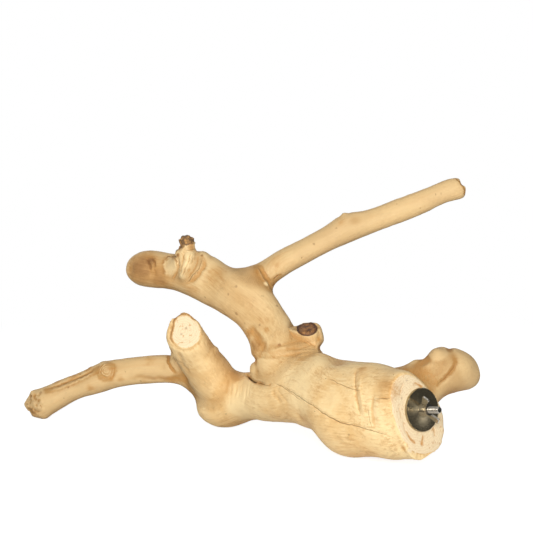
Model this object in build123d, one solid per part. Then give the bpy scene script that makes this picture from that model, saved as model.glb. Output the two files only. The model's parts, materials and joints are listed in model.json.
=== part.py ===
from build123d import *
import math
import os

# A natural-branch perch for a bird cage: one branching piece of hardwood, bolted to the cage by its
# sawn face. The origin is on the bolt's axis, at the inner washer's clamping face. +Z is up as the
# perch lies on a table, and the sawn face looks towards -Y, tipped a little upwards.
# Lengths are in millimetres. A heading is measured from +Y towards +X, and a rise from level.

# Mounting set: M8 hanger bolt, two fender washers and a wing nut
MOUNT_RISE_ANGLE = 9.0
BOLT_DIAMETER = 8.0
BOLT_REACH = 29.0
BOLT_CHAMFER = 1.0
LAG_LENGTH = 45.0
LAG_POINT = 10.0
LAG_TIP_DIAMETER = 1.2
WASHER_DIAMETER = 50.0
WASHER_THICKNESS = 1.5
WASHER_CLEARANCE = 0.35
DISH_HEIGHT = 1.6
DISH_RIM = 5.0
SEAT_MARGIN = 3.0
NUT_BASE_DIAMETER = 16.0
NUT_TOP_DIAMETER = 13.0
NUT_HUB_HEIGHT = 9.5
NUT_HEIGHT = 17.5
NUT_CLEARANCE = 0.05
WING_SPAN = 39.0
WING_THICKNESS = 2.6
WING_CORNER = 2.0
WING_EDGE = 0.8
WING_TURN_ANGLE = 29.0
# Corners of a wing from its root outwards and up, as shares of the half span and of the nut's height
WING_SHARES = ((0.41, 0.12), (0.80, 0.44), (1.00, 0.64), (0.68, 1.00))

# Trunk: from the sawn face to the swelling where the front stub and the lower limb part
TRUNK_LENGTH = 350.0
TRUNK_DIAMETER = 100.0
TRUNK_HEADING_ANGLE = -8.0
TRUNK_RISE_ANGLE = -6.0
FACE_ASIDE = -5.5
FACE_ABOVE = -7.5
FACE_ROLL_ANGLE = 30.0

# Front stub: a thick limb sawn off short
FRONT_STUB_LENGTH = 125.0
FRONT_STUB_DIAMETER = 50.0
FRONT_STUB_HEADING_ANGLE = -106.0
FRONT_STUB_RISE_ANGLE = 52.0
FRONT_CUT_HEADING_ANGLE = -133.0
FRONT_CUT_RISE_ANGLE = 27.0

# Lower limb: a long limb that droops to its broken tip
LOWER_LIMB_LENGTH = 260.0
LOWER_LIMB_DIAMETER = 33.0
LOWER_LIMB_HEADING_ANGLE = -37.0
LOWER_LIMB_RISE_ANGLE = -6.0

# Upper limb: rises from the trunk, bends at the fork and ends in a rounded stub
UPPER_LIMB_LENGTH = 280.0
UPPER_LIMB_DIAMETER = 52.0
UPPER_LIMB_HEADING_ANGLE = -18.0
UPPER_LIMB_RISE_ANGLE = 28.0

# Perch limb: the long straight limb from the fork
PERCH_LIMB_LENGTH = 305.0
PERCH_LIMB_DIAMETER = 32.0
PERCH_LIMB_HEADING_ANGLE = 124.0
PERCH_LIMB_RISE_ANGLE = 26.0

# Rear stub: a rounded stub on a wide buttress
REAR_STUB_LENGTH = 155.0
REAR_STUB_DIAMETER = 56.0
REAR_STUB_HEADING_ANGLE = 95.0
REAR_STUB_RISE_ANGLE = 11.0

# Dead knot: a broken stub with a decayed heart
DEAD_KNOT_LENGTH = 80.0
DEAD_KNOT_DIAMETER = 33.0
DEAD_KNOT_HEADING_ANGLE = 38.0
DEAD_KNOT_RISE_ANGLE = 65.0
DEAD_KNOT_CUT_HEADING_ANGLE = -110.0
DEAD_KNOT_CUT_RISE_ANGLE = 40.0

# Snag: a twisted broken twig on the upper limb
SNAG_LENGTH = 50.0
SNAG_DIAMETER = 22.0
SNAG_HEADING_ANGLE = -115.0
SNAG_RISE_ANGLE = 82.0

# Where each limb starts, as a share of its parent's length
FRONT_STUB_ROOT_SHARE = 0.91
LOWER_LIMB_ROOT_SHARE = 0.09
UPPER_LIMB_ROOT_SHARE = 0.595
PERCH_LIMB_ROOT_SHARE = 0.425
REAR_STUB_ROOT_SHARE = 0.215
DEAD_KNOT_ROOT_SHARE = 0.51
SNAG_ROOT_SHARE = 0.71

# The run of each limb: along, aside and above its line as shares of its length, then its width and
# height as shares of its diameter
TRUNK_SHARES = (
    (0.000, 0.000, 0.000, 0.71, 1.05),
    (0.075, 0.013, 0.004, 0.88, 1.07),
    (0.155, 0.024, 0.008, 1.02, 1.08),
    (0.240, 0.031, 0.009, 1.10, 1.10),
    (0.325, 0.038, 0.013, 1.13, 1.10),
    (0.395, 0.046, 0.045, 1.06, 0.99),
    (0.470, 0.053, 0.060, 0.98, 0.89),
    (0.565, 0.056, 0.060, 0.93, 0.79),
    (0.675, 0.055, 0.047, 0.84, 0.71),
    (0.795, 0.052, 0.029, 0.70, 0.60),
    (0.905, 0.035, 0.014, 0.68, 0.69),
    (0.968, 0.018, 0.010, 0.48, 0.48),
    (0.992, 0.012, 0.008, 0.22, 0.22),
)
FRONT_STUB_SHARES = (
    (0.00, 0.000, 0.00, 0.66, 0.66),
    (0.25, 0.010, 0.02, 1.08, 1.12),
    (0.52, 0.060, 0.03, 1.04, 1.02),
    (0.76, 0.068, 0.02, 0.97, 0.96),
    (1.00, 0.048, 0.01, 0.87, 0.90),
)
LOWER_LIMB_SHARES = (
    (0.000, 0.000, 0.000, 1.33, 1.33),
    (0.150, 0.037, 0.105, 1.17, 1.16),
    (0.260, 0.039, 0.133, 1.05, 1.07),
    (0.380, 0.033, 0.136, 1.05, 1.07),
    (0.505, 0.030, 0.129, 1.05, 1.07),
    (0.600, 0.025, 0.113, 1.10, 1.12),
    (0.695, 0.015, 0.086, 0.96, 1.00),
    (0.790, 0.008, 0.058, 0.96, 0.98),
    (0.855, 0.000, 0.031, 1.06, 1.06),
    (0.930, -0.005, 0.007, 1.09, 1.14),
    (1.000, -0.008, 0.004, 0.60, 0.70),
)
UPPER_LIMB_SHARES = (
    (0.000, 0.000, 0.000, 1.35, 1.15),
    (0.125, 0.014, 0.098, 1.52, 1.26),
    (0.200, 0.030, 0.138, 1.28, 1.16),
    (0.275, 0.036, 0.172, 1.10, 1.08),
    (0.425, 0.035, 0.211, 1.12, 1.24),
    (0.550, 0.036, 0.182, 1.02, 1.08),
    (0.710, 0.031, 0.149, 0.96, 1.02),
    (0.830, 0.019, 0.094, 0.87, 0.88),
    (0.930, 0.006, 0.045, 0.87, 0.88),
    (0.973, 0.000, 0.018, 0.69, 0.69),
    (1.000, -0.006, 0.002, 0.38, 0.38),
)
PERCH_LIMB_SHARES = (
    (0.000, 0.000, 0.000, 1.08, 1.02),
    (0.107, -0.014, 0.040, 1.20, 1.16),
    (0.175, -0.016, 0.049, 1.02, 0.98),
    (0.290, -0.019, 0.055, 0.97, 0.95),
    (0.430, -0.018, 0.059, 0.98, 0.99),
    (0.497, -0.017, 0.060, 1.06, 1.12),
    (0.585, -0.015, 0.046, 0.94, 0.96),
    (0.715, -0.010, 0.033, 0.91, 0.92),
    (0.820, -0.007, 0.024, 0.88, 0.88),
    (0.925, -0.006, 0.019, 0.84, 0.84),
    (0.980, 0.000, 0.007, 0.78, 0.81),
    (1.000, 0.000, -0.003, 0.56, 0.62),
)
REAR_STUB_SHARES = (
    (0.000, 0.000, 0.000, 1.20, 1.40),
    (0.210, -0.080, -0.098, 1.30, 1.80),
    (0.386, -0.090, -0.080, 1.20, 1.54),
    (0.530, -0.060, 0.020, 1.04, 1.12),
    (0.674, -0.035, 0.080, 1.00, 1.02),
    (0.865, -0.019, 0.056, 0.98, 0.95),
    (0.957, -0.012, 0.030, 0.79, 0.75),
    (1.000, -0.008, 0.018, 0.46, 0.46),
)
DEAD_KNOT_SHARES = (
    (0.000, 0.000, 0.000, 0.90, 0.90),
    (0.590, 0.030, -0.107, 1.05, 1.05),
    (0.800, 0.020, -0.039, 1.03, 1.06),
    (0.960, -0.020, 0.040, 0.92, 0.95),
)
SNAG_SHARES = (
    (0.000, 0.000, 0.000, 1.82, 1.82),
    (0.400, 0.016, -0.175, 1.64, 1.55),
    (0.650, 0.034, -0.155, 1.18, 1.18),
    (0.885, 0.011, -0.057, 0.91, 0.82),
    (1.000, 0.000, 0.000, 0.55, 0.55),
)

# Shallow lobes that wind round every limb
LOBES = 3
LOBE_SHARE = 0.035
LOBE_TWIST_ANGLE = 150.0
SECTION_POINTS = 14


def direction(heading, rise):
    """Unit vector for a heading and a rise in degrees."""
    turn = math.radians(heading)
    tip = math.radians(rise)
    return Vector(math.sin(turn) * math.cos(tip), math.cos(turn) * math.cos(tip), math.sin(tip))


class Limb:
    """A length of wood: where it starts, which way it grows, and how its girth changes on the way."""

    def __init__(
        self, root, heading, rise, length, diameter, shares,
        start_facing=None, end_facing=None, roll=0, parallel=False,
    ):
        self.side = direction(heading + 90, 0)
        self.forward = direction(heading, rise)
        above = self.side.cross(self.forward)
        self.diameter = diameter
        self.shares = shares
        self.roll = roll
        self.parallel = parallel
        self.start_facing = start_facing
        self.end_facing = end_facing
        self.line = []
        for along, aside, upward, across, tall in shares:
            self.line.append(root + (self.forward * along + self.side * aside + above * upward) * length)

    def at(self, share):
        """Point of the limb's line at a share of its length."""
        for row, here in enumerate(self.line[1:]):
            before, after = self.shares[row][0], self.shares[row + 1][0]
            if share <= after:
                return self.line[row] + (here - self.line[row]) * ((share - before) / (after - before))
        return self.line[-1]

    def facing(self, row):
        """Direction of growth at one row, or the way a sawn end looks."""
        if row == 0 and self.start_facing:
            return self.start_facing
        if row == len(self.line) - 1 and self.end_facing:
            return self.end_facing
        if self.parallel:
            return self.forward
        return (self.line[min(row + 1, len(self.line) - 1)] - self.line[max(row - 1, 0)]).normalized()

    def section(self, row):
        """Rolled oval with shallow lobes, square to the limb's line."""
        along, aside, upward, across, tall = self.shares[row]
        roll = math.radians(self.roll) * (1 - along) ** 2
        twist = math.radians(LOBE_TWIST_ANGLE) * along
        outline = []
        for point in range(SECTION_POINTS):
            turn = 2 * math.pi * point / SECTION_POINTS
            oval = 1 / math.hypot(math.cos(turn - roll) / across, math.sin(turn - roll) / tall)
            radius = self.diameter / 2 * oval * (1 + LOBE_SHARE * math.cos(LOBES * turn + twist))
            outline.append((radius * math.cos(turn), radius * math.sin(turn)))
        facing = self.facing(row)
        across_axis = self.side - facing * self.side.dot(facing)
        plane = Plane(self.line[row], x_dir=across_axis, z_dir=facing * -1)
        return plane * make_face(Spline(*outline, periodic=True))

    def solid(self):
        """Smooth loft through the limb's sections."""
        return loft([self.section(row) for row in range(len(self.line))])


# The mounting plane: its normal is the bolt's axis, pointing out of the wood
OUTWARD = direction(180, MOUNT_RISE_ANGLE)
CLAMP = Plane((0, 0, 0), x_dir=(1, 0, 0), z_dir=OUTWARD)


def turned(profile):
    """Solid of revolution about the bolt's axis, from radius and height pairs."""
    return CLAMP * revolve(Plane.XZ * make_face(Polyline(*profile, close=True)), Axis.Z)


def hanger_bolt():
    """Wood-screw end with a gimlet point, and a machine end with a chamfered tip."""
    radius = BOLT_DIAMETER / 2
    wood = -WASHER_THICKNESS
    return turned([
        (0, wood - LAG_LENGTH),
        (LAG_TIP_DIAMETER / 2, wood - LAG_LENGTH),
        (radius, wood - LAG_LENGTH + LAG_POINT),
        (radius, BOLT_REACH - BOLT_CHAMFER),
        (radius - BOLT_CHAMFER, BOLT_REACH),
        (0, BOLT_REACH),
    ])


def inner_washer():
    """Flat fender washer between the sawn face and the cage."""
    hole = BOLT_DIAMETER / 2 + WASHER_CLEARANCE
    edge = WASHER_DIAMETER / 2
    return turned([(hole, -WASHER_THICKNESS), (edge, -WASHER_THICKNESS), (edge, 0), (hole, 0)])


def outer_washer():
    """Shallow dished fender washer: a flat rim, a conical flank and a flat seat for the nut."""
    hole = BOLT_DIAMETER / 2 + WASHER_CLEARANCE
    edge = WASHER_DIAMETER / 2
    rim = edge - DISH_RIM
    seat = NUT_BASE_DIAMETER / 2 + SEAT_MARGIN
    return turned([
        (hole, DISH_HEIGHT),
        (seat, DISH_HEIGHT),
        (rim, 0),
        (edge, 0),
        (edge, WASHER_THICKNESS),
        (rim, WASHER_THICKNESS),
        (seat, DISH_HEIGHT + WASHER_THICKNESS),
        (hole, DISH_HEIGHT + WASHER_THICKNESS),
    ])


def wing_nut():
    """Tapered hub with two upswept, square-cornered wings."""
    base = NUT_BASE_DIAMETER / 2
    top = NUT_TOP_DIAMETER / 2
    bore = BOLT_DIAMETER / 2 + NUT_CLEARANCE
    seat = DISH_HEIGHT + WASHER_THICKNESS
    cone = Polyline((0, 0), (base, 0), (top, NUT_HUB_HEIGHT), (0, NUT_HUB_HEIGHT), close=True)
    hub = revolve(Plane.XZ * make_face(cone), Axis.Z)
    foot = NUT_HEIGHT * WING_SHARES[0][1]
    corners = [(reach * WING_SPAN / 2, height * NUT_HEIGHT) for reach, height in WING_SHARES]
    outline = make_face(Polyline((0, foot), *corners, (top, NUT_HUB_HEIGHT), (0, NUT_HUB_HEIGHT), close=True))
    outer_corners = [corner for corner in outline.vertices() if corner.X > base]
    plate = extrude(Plane.XZ * fillet(outer_corners, WING_CORNER), WING_THICKNESS / 2, both=True)
    sides = plate.faces().sort_by(Axis.Y)
    wing = fillet(sides[0].edges() + sides[-1].edges(), WING_EDGE)
    nut = hub + wing + Rot(0, 0, 180) * wing
    nut -= Cylinder(bore, NUT_HEIGHT, align=(Align.CENTER, Align.CENTER, Align.MIN))
    return CLAMP * Pos(0, 0, seat) * Rot(0, 0, 90 + WING_TURN_ANGLE) * nut


# The wood, from the trunk outwards: each limb is cut back to the surface of the ones it grows from
sawn_face = CLAMP * Pos(FACE_ASIDE, FACE_ABOVE, -WASHER_THICKNESS)
trunk_run = Limb(
    sawn_face.position, TRUNK_HEADING_ANGLE, TRUNK_RISE_ANGLE, TRUNK_LENGTH, TRUNK_DIAMETER, TRUNK_SHARES,
    start_facing=OUTWARD * -1, roll=FACE_ROLL_ANGLE, parallel=True,
)
front_stub_run = Limb(
    trunk_run.at(FRONT_STUB_ROOT_SHARE), FRONT_STUB_HEADING_ANGLE, FRONT_STUB_RISE_ANGLE,
    FRONT_STUB_LENGTH, FRONT_STUB_DIAMETER, FRONT_STUB_SHARES,
    end_facing=direction(FRONT_CUT_HEADING_ANGLE, FRONT_CUT_RISE_ANGLE),
)
lower_limb_run = Limb(
    front_stub_run.at(LOWER_LIMB_ROOT_SHARE), LOWER_LIMB_HEADING_ANGLE, LOWER_LIMB_RISE_ANGLE,
    LOWER_LIMB_LENGTH, LOWER_LIMB_DIAMETER, LOWER_LIMB_SHARES,
)
upper_limb_run = Limb(
    trunk_run.at(UPPER_LIMB_ROOT_SHARE), UPPER_LIMB_HEADING_ANGLE, UPPER_LIMB_RISE_ANGLE,
    UPPER_LIMB_LENGTH, UPPER_LIMB_DIAMETER, UPPER_LIMB_SHARES,
)
perch_limb_run = Limb(
    upper_limb_run.at(PERCH_LIMB_ROOT_SHARE), PERCH_LIMB_HEADING_ANGLE, PERCH_LIMB_RISE_ANGLE,
    PERCH_LIMB_LENGTH, PERCH_LIMB_DIAMETER, PERCH_LIMB_SHARES,
)
rear_stub_run = Limb(
    trunk_run.at(REAR_STUB_ROOT_SHARE), REAR_STUB_HEADING_ANGLE, REAR_STUB_RISE_ANGLE,
    REAR_STUB_LENGTH, REAR_STUB_DIAMETER, REAR_STUB_SHARES, parallel=True,
)
dead_knot_run = Limb(
    trunk_run.at(DEAD_KNOT_ROOT_SHARE), DEAD_KNOT_HEADING_ANGLE, DEAD_KNOT_RISE_ANGLE,
    DEAD_KNOT_LENGTH, DEAD_KNOT_DIAMETER, DEAD_KNOT_SHARES,
    end_facing=direction(DEAD_KNOT_CUT_HEADING_ANGLE, DEAD_KNOT_CUT_RISE_ANGLE),
)
snag_run = Limb(
    upper_limb_run.at(SNAG_ROOT_SHARE), SNAG_HEADING_ANGLE, SNAG_RISE_ANGLE,
    SNAG_LENGTH, SNAG_DIAMETER, SNAG_SHARES,
)
runs = {
    "trunk": trunk_run,
    "upper_limb": upper_limb_run,
    "front_stub": front_stub_run,
    "lower_limb": lower_limb_run,
    "perch_limb": perch_limb_run,
    "rear_stub": rear_stub_run,
    "dead_knot": dead_knot_run,
    "snag": snag_run,
}
pieces = {}
for name, run in runs.items():
    wood = run.solid()
    for earlier in pieces.values():
        wood -= earlier
    pieces[name] = wood

bolt = hanger_bolt()
pieces["trunk"] -= bolt
pieces["hanger_bolt"] = bolt
pieces["inner_washer"] = inner_washer()
pieces["outer_washer"] = outer_washer()
pieces["wing_nut"] = wing_nut()

os.makedirs("parts", exist_ok=True)
for name, piece in pieces.items():
    export_step(piece, f"parts/{name}.step")
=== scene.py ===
import json
import math

import bmesh
import bpy
import numpy as np
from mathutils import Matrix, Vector, noise
from mathutils.bvhtree import BVHTree


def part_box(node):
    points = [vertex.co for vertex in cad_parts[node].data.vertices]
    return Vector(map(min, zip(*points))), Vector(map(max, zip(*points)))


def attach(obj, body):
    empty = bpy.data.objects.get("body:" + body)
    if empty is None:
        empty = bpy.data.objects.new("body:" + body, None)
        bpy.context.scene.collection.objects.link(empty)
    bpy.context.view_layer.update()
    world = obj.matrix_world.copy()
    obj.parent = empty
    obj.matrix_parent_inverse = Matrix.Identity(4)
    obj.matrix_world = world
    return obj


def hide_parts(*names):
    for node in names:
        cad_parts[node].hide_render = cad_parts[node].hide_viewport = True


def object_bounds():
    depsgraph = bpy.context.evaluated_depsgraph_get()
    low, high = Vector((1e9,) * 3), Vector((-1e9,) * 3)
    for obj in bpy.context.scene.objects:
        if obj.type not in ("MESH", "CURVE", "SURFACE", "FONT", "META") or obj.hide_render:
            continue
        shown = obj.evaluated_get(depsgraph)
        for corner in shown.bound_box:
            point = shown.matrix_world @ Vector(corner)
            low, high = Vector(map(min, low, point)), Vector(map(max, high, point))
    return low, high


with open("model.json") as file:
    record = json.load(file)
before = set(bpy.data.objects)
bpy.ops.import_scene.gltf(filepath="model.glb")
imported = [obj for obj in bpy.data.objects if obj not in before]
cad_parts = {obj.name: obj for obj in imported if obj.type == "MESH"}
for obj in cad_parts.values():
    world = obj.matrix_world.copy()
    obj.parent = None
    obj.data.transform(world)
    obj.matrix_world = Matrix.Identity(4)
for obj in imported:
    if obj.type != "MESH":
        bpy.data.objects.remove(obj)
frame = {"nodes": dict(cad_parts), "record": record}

cad_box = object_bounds()

# The camera: a long lens that looks a little down on the perch, from in front of the sawn face.
# Places given by pixels further down are in the photograph's frame, and are found on the wood by
# looking through this camera.
PHOTO_SIZE = 533
PHOTO_MIDDLE = PHOTO_SIZE / 2
FOCAL_LENGTH = 1760
SENSOR_MM = 36
CAMERA_PLACE = Vector((-1.35896, -1.40724, 0.41582))
CAMERA_TURN = math.radians(-38.861)
CAMERA_DIP = math.radians(7.392)

camera_data = bpy.data.cameras.new("camera")
camera_data.sensor_width = SENSOR_MM
camera_data.lens = SENSOR_MM * FOCAL_LENGTH / PHOTO_SIZE
camera = bpy.data.objects.new("camera", camera_data)
camera.location = CAMERA_PLACE
camera.rotation_euler = (math.pi / 2 - CAMERA_DIP, 0, CAMERA_TURN)
bpy.context.scene.collection.objects.link(camera)
bpy.context.scene.camera = camera
camera_matrix = camera.rotation_euler.to_matrix()
photo_right = np.array(camera_matrix.col[0])
photo_down = -np.array(camera_matrix.col[1])
photo_inward = -np.array(camera_matrix.col[2])


def sight(u, v):
    """Direction of the camera's ray through a pixel of the photograph."""
    across = (u - PHOTO_MIDDLE) / FOCAL_LENGTH
    upward = (PHOTO_MIDDLE - v) / FOCAL_LENGTH
    return camera_matrix @ Vector((across, upward, -1)).normalized()


def pixel_of(points):
    """Pixels of the photograph at which points are seen."""
    seen = (points - np.array(CAMERA_PLACE)) @ np.array(camera_matrix)
    across = FOCAL_LENGTH * seen[:, 0] / seen[:, 2]
    upward = FOCAL_LENGTH * seen[:, 1] / seen[:, 2]
    return PHOTO_MIDDLE - across, PHOTO_MIDDLE + upward


# The wood: one grown piece of branching hardwood, stripped of its bark and sand-blasted to a satin
# surface. It is one skin over all eight limbs, filleted where they fork and carved with the folds,
# knots, drying cracks and broken ends of the real branch.
MM = 0.001
SAME_POINT = 0.001 * MM
VOXEL = 2.4 * MM
POLISH_ROUNDS = 4
POLISH_SHARES = (0.5, -0.53)
FILL_STRIDE = 8
FILL_EASE_ROUNDS = 4
FILL_EASE_SHARE = 0.5
# How much darker than the trunk each limb is made: partly the limb's weathered tone, partly painted shade
# for the limbs that lie farther from the lamp
LIMB_SHADE_TONES = {
    "trunk": 0.0,
    "upper_limb": 0.9,
    "front_stub": 0.3,
    "lower_limb": 1.7,
    "perch_limb": 1.65,
    "rear_stub": 1.8,
    "dead_knot": 0.6,
    "snag": 0.35,
}
WOOD_NODES = tuple(LIMB_SHADE_TONES)


def new_piece(name, mesh):
    """An object for a mesh, at the origin."""
    piece = bpy.data.objects.new(name, mesh)
    bpy.context.scene.collection.objects.link(piece)
    return piece


def settle(piece):
    """Turns the result of a piece's modifiers into its plain mesh."""
    graph = bpy.context.evaluated_depsgraph_get()
    mesh = bpy.data.meshes.new_from_object(piece.evaluated_get(graph))
    piece.modifiers.clear()
    piece.data = mesh


def smoothstep(share):
    """Eases a share between 0 and 1 at both ends."""
    share = np.clip(share, 0, 1)
    return share * share * (3 - 2 * share)


def mound(gap, reach):
    """1 in the middle, eased to 0 at the reach."""
    return smoothstep(1 - gap / reach)


def plateau(gap, reach):
    """1 within half the reach, eased to 0 at the reach."""
    return smoothstep(2 - 2 * gap / reach)


def bell(value, middle, width):
    """1 where a value is at the middle, falling to 0 past the width on either side."""
    return np.exp(-((value - middle) / width) ** 2)


class Skin:
    """The wood's surface as arrays of points and of the links between neighbours."""

    def __init__(self, mesh):
        self.mesh = mesh
        self.points = np.empty((len(mesh.vertices), 3), np.float32)
        mesh.vertices.foreach_get("co", self.points.ravel())
        edges = np.empty((len(mesh.edges), 2), np.int32)
        mesh.edges.foreach_get("vertices", edges.ravel())
        quads = np.array([tuple(face.vertices) for face in mesh.polygons if face.loop_total == 4])
        links = np.concatenate((edges, quads[:, (0, 2)], quads[:, (1, 3)]))
        links = np.concatenate((links, links[:, ::-1]))
        links = links[np.argsort(links[:, 0], kind="stable")]
        self.start, self.end = links.T
        self.first = np.searchsorted(self.start, np.arange(len(self.points)))
        self.update()

    def update(self):
        """Puts the moved points back into the mesh and reads its normals."""
        self.mesh.vertices.foreach_set("co", self.points.ravel())
        self.mesh.update()
        self.normals = np.empty_like(self.points)
        self.mesh.vertex_normals.foreach_get("vector", self.normals.ravel())

    def around(self, values):
        """Mean of each point's neighbours."""
        if values.ndim == 2:
            return np.stack([self.around(column) for column in values.T], 1)
        total = np.bincount(self.start, minlength=len(self.points))
        return np.bincount(self.start, values[self.end], len(self.points)) / total

    def spread(self, values, rounds):
        """Values evened out over the neighbours."""
        for _ in range(rounds):
            values = self.around(values)
        return values

    def relax(self, rounds, share):
        """Smooths the points, each by its own share."""
        share = np.broadcast_to(share, len(self.points))[:, None]
        for _ in range(rounds):
            self.points += (share * (self.around(self.points) - self.points)).astype(np.float32)
        self.update()

    def fill(self, rounds, share):
        """Fills hollows, each point by its own share, and leaves what stands out."""
        for number in range(1, rounds + 1):
            outward = np.einsum("ij,ij->i", self.around(self.points) - self.points, self.normals)
            self.points += ((share * np.clip(outward, 0, None))[:, None] * self.normals).astype(np.float32)
            if number % FILL_STRIDE == 0:
                self.update()
        self.relax(FILL_EASE_ROUNDS, FILL_EASE_SHARE * share)

    def polish(self, rounds):
        """Smooths away small steps without shrinking the limbs."""
        for share in POLISH_SHARES * rounds:
            self.relax(1, share)

    def link_lengths(self):
        """Distance between the two points of each link."""
        return np.linalg.norm(self.points[self.end] - self.points[self.start], axis=1)

    def way_from(self, sources):
        """Length of the shortest way over the skin from the source points."""
        lengths = self.link_lengths()
        way = np.where(sources, 0.0, np.inf)
        while True:
            shorter = np.minimum(way, np.minimum.reduceat(way[self.end] + lengths, self.first))
            if np.array_equal(shorter, way):
                return way
            way = shorter

    def tree(self):
        """Tree of the faces, for finding places on them."""
        faces = [tuple(face.vertices) for face in self.mesh.polygons]
        return BVHTree.FromPolygons(self.points.tolist(), faces)

    def write(self, name, values):
        """Keeps a value or a vector for each point in the mesh."""
        kind, key = ("FLOAT", "value") if values.ndim == 1 else ("FLOAT_VECTOR", "vector")
        layer = self.mesh.attributes.new(name, kind, "POINT")
        layer.data.foreach_set(key, np.ravel(values).astype(np.float32))

    def measure(self, line, reach):
        """Points within reach of a line: their distance, share of the way along it and side."""
        inside = (self.points > line.min(0) - reach) & (self.points < line.max(0) + reach)
        rows = np.flatnonzero(np.all(inside, 1))
        points, normals = self.points[rows], self.normals[rows]
        gap = np.full(len(rows), np.inf)
        share = np.zeros(len(rows))
        side = np.ones(len(rows))
        run = np.concatenate(([0], np.cumsum(np.linalg.norm(np.diff(line, axis=0), axis=1))))
        for begin, finish, before in zip(line, line[1:], run):
            step = finish - begin
            size = np.linalg.norm(step)
            along = np.clip((points - begin) @ step / size**2, 0, 1)
            offset = points - begin - along[:, None] * step
            distance = np.linalg.norm(offset, axis=1)
            closer = distance < gap
            gap[closer] = distance[closer]
            share[closer] = (before + along * size)[closer] / run[-1]
            side[closer] = np.sign(np.einsum("ij,ij->i", np.cross(step, normals), offset))[closer]
        near = gap < reach
        return rows[near], gap[near], share[near], side[near]


shell = bmesh.new()
for name in WOOD_NODES:
    first = len(shell.verts)
    shell.from_mesh(frame["nodes"][name].data)
    shell.verts.ensure_lookup_table()
    bmesh.ops.remove_doubles(shell, verts=shell.verts[first:], dist=SAME_POINT)
wood_mesh = bpy.data.meshes.new("branch_wood")
shell.to_mesh(wood_mesh)
shell.free()
wood = new_piece("branch_wood", wood_mesh)
remesh = wood.modifiers.new("one_skin", "REMESH")
remesh.mode = "VOXEL"
remesh.voxel_size = VOXEL
settle(wood)
skin = Skin(wood.data)
skin.polish(POLISH_ROUNDS)

# Forks are filleted where two limbs lie close together, and some flare more softly
FORK_REACH = 16 * MM
FORK_ROUNDS = 40
FORK_SHARE = 0.6
SOFT_FORK_ROUNDS = 64
# Soft forks: pixel, then reach in millimetres
SOFT_FORKS = {
    "upper_limb_foot": (300, 354, 52),
    "rear_stub_foot": (412, 372, 40),
}


def touch(u, v):
    """Point of the wood that the camera sees at a pixel, or nearest to it."""
    hit = wood_tree.ray_cast(CAMERA_PLACE, sight(u, v))[0]
    if hit is None:
        seen_u, seen_v = pixel_of(skin.points)
        hit = skin.points[np.argmin(np.hypot(seen_u - u, seen_v - v))]
    return np.array(hit)


def gap_from(u, v):
    """Distance of the skin's points from the place seen at a pixel."""
    return np.linalg.norm(skin.points - touch(u, v), axis=1)


limb_gaps = np.full((len(WOOD_NODES), len(skin.points)), FORK_REACH)
for row, name in enumerate(WOOD_NODES):
    node_mesh = frame["nodes"][name].data
    node_faces = [tuple(face.vertices) for face in node_mesh.polygons]
    node_tree = BVHTree.FromPolygons([vertex.co for vertex in node_mesh.vertices], node_faces)
    low, high = np.array(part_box(name))
    in_box = np.all((skin.points > low - FORK_REACH) & (skin.points < high + FORK_REACH), 1)
    for point in np.flatnonzero(in_box):
        gap = node_tree.find_nearest(skin.points[point].tolist(), FORK_REACH)[3]
        limb_gaps[row, point] = FORK_REACH if gap is None else gap
second_gap = np.sort(limb_gaps, 0)[1]
skin.relax(FORK_ROUNDS, FORK_SHARE * mound(second_gap, FORK_REACH))
wood_tree = skin.tree()
for u, v, reach in SOFT_FORKS.values():
    skin.fill(SOFT_FORK_ROUNDS, plateau(gap_from(u, v), reach * MM))

# Pulls give an edge its outline: pixel, pull to the right and down in pixels, reach in millimetres
PIXEL_SIZE = 1.18 * MM
PULL_DEPTH = 1.4
PULL_EASE_ROUNDS = 2
PULL_EASE_SHARE = 0.4
PULLS = {
    "knot_waist": (325, 348, -6, 0, 10),
    "knot_web": (293, 325.5, -1, 5, 8),
    "knot_front": (301, 331.5, 0, 4, 8),
    "knot_shoulder": (337, 353, 0, 4.5, 24),
    "crotch_notch": (250.5, 361.5, 4.5, 0, 8),
    "crotch_bulb": (249.5, 370, -2, 0, 8),
    "rear_shoulder": (423, 353.5, 1, 5, 15),
    "rear_notch": (449, 346.8, 0, 1.5, 7),
    "snag_left": (177, 247, 5, 0, 9),
    "snag_hump": (203, 255.5, 0, -4, 11),
    "perch_corner": (464.5, 181, -3.5, 3.5, 8),
    "collar_lobe": (174, 366, -5.5, 0, 14),
    "cut_rim_top": (184, 315.5, -0.5, -3, 12),
    "cut_rim_left": (172, 323, -1.5, -1.5, 10),
    "knot_top": (102.5, 364.5, 0, -1.8, 7),
    "tip_top": (28, 397, 4, 0, 7),
    "tip_point": (26, 404.5, -2.5, 0, 5),
    "tip_under": (29, 412.5, 3.5, -2, 7),
    "tip_foot": (44, 416, 0.5, 2.5, 13),
    "stub_bump": (216, 349, 1.5, -1, 5),
}

wood_tree = skin.tree()
for u, v, right, down, reach in PULLS.values():
    offset = skin.points - touch(u, v)
    in_plane = np.hypot(offset @ photo_right, offset @ photo_down) / (reach * MM)
    in_depth = np.abs(offset @ photo_inward) / (PULL_DEPTH * reach * MM)
    hold = smoothstep(1 - in_plane) * smoothstep(2 - in_depth)
    pull = PIXEL_SIZE * (right * photo_right + down * photo_down)
    skin.points += (hold[:, None] * pull).astype(np.float32)
skin.relax(PULL_EASE_ROUNDS, PULL_EASE_SHARE)

# Each limb's tone and painted shade runs over into its neighbour's
TONE_ROUNDS = 12
closeness = 1 / (limb_gaps + MM) ** 2 - 1 / (FORK_REACH + MM) ** 2 + SAME_POINT
tone = np.array(list(LIMB_SHADE_TONES.values())) @ closeness / closeness.sum(0)
skin.write("tone", skin.spread(tone, TONE_ROUNDS))

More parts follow.
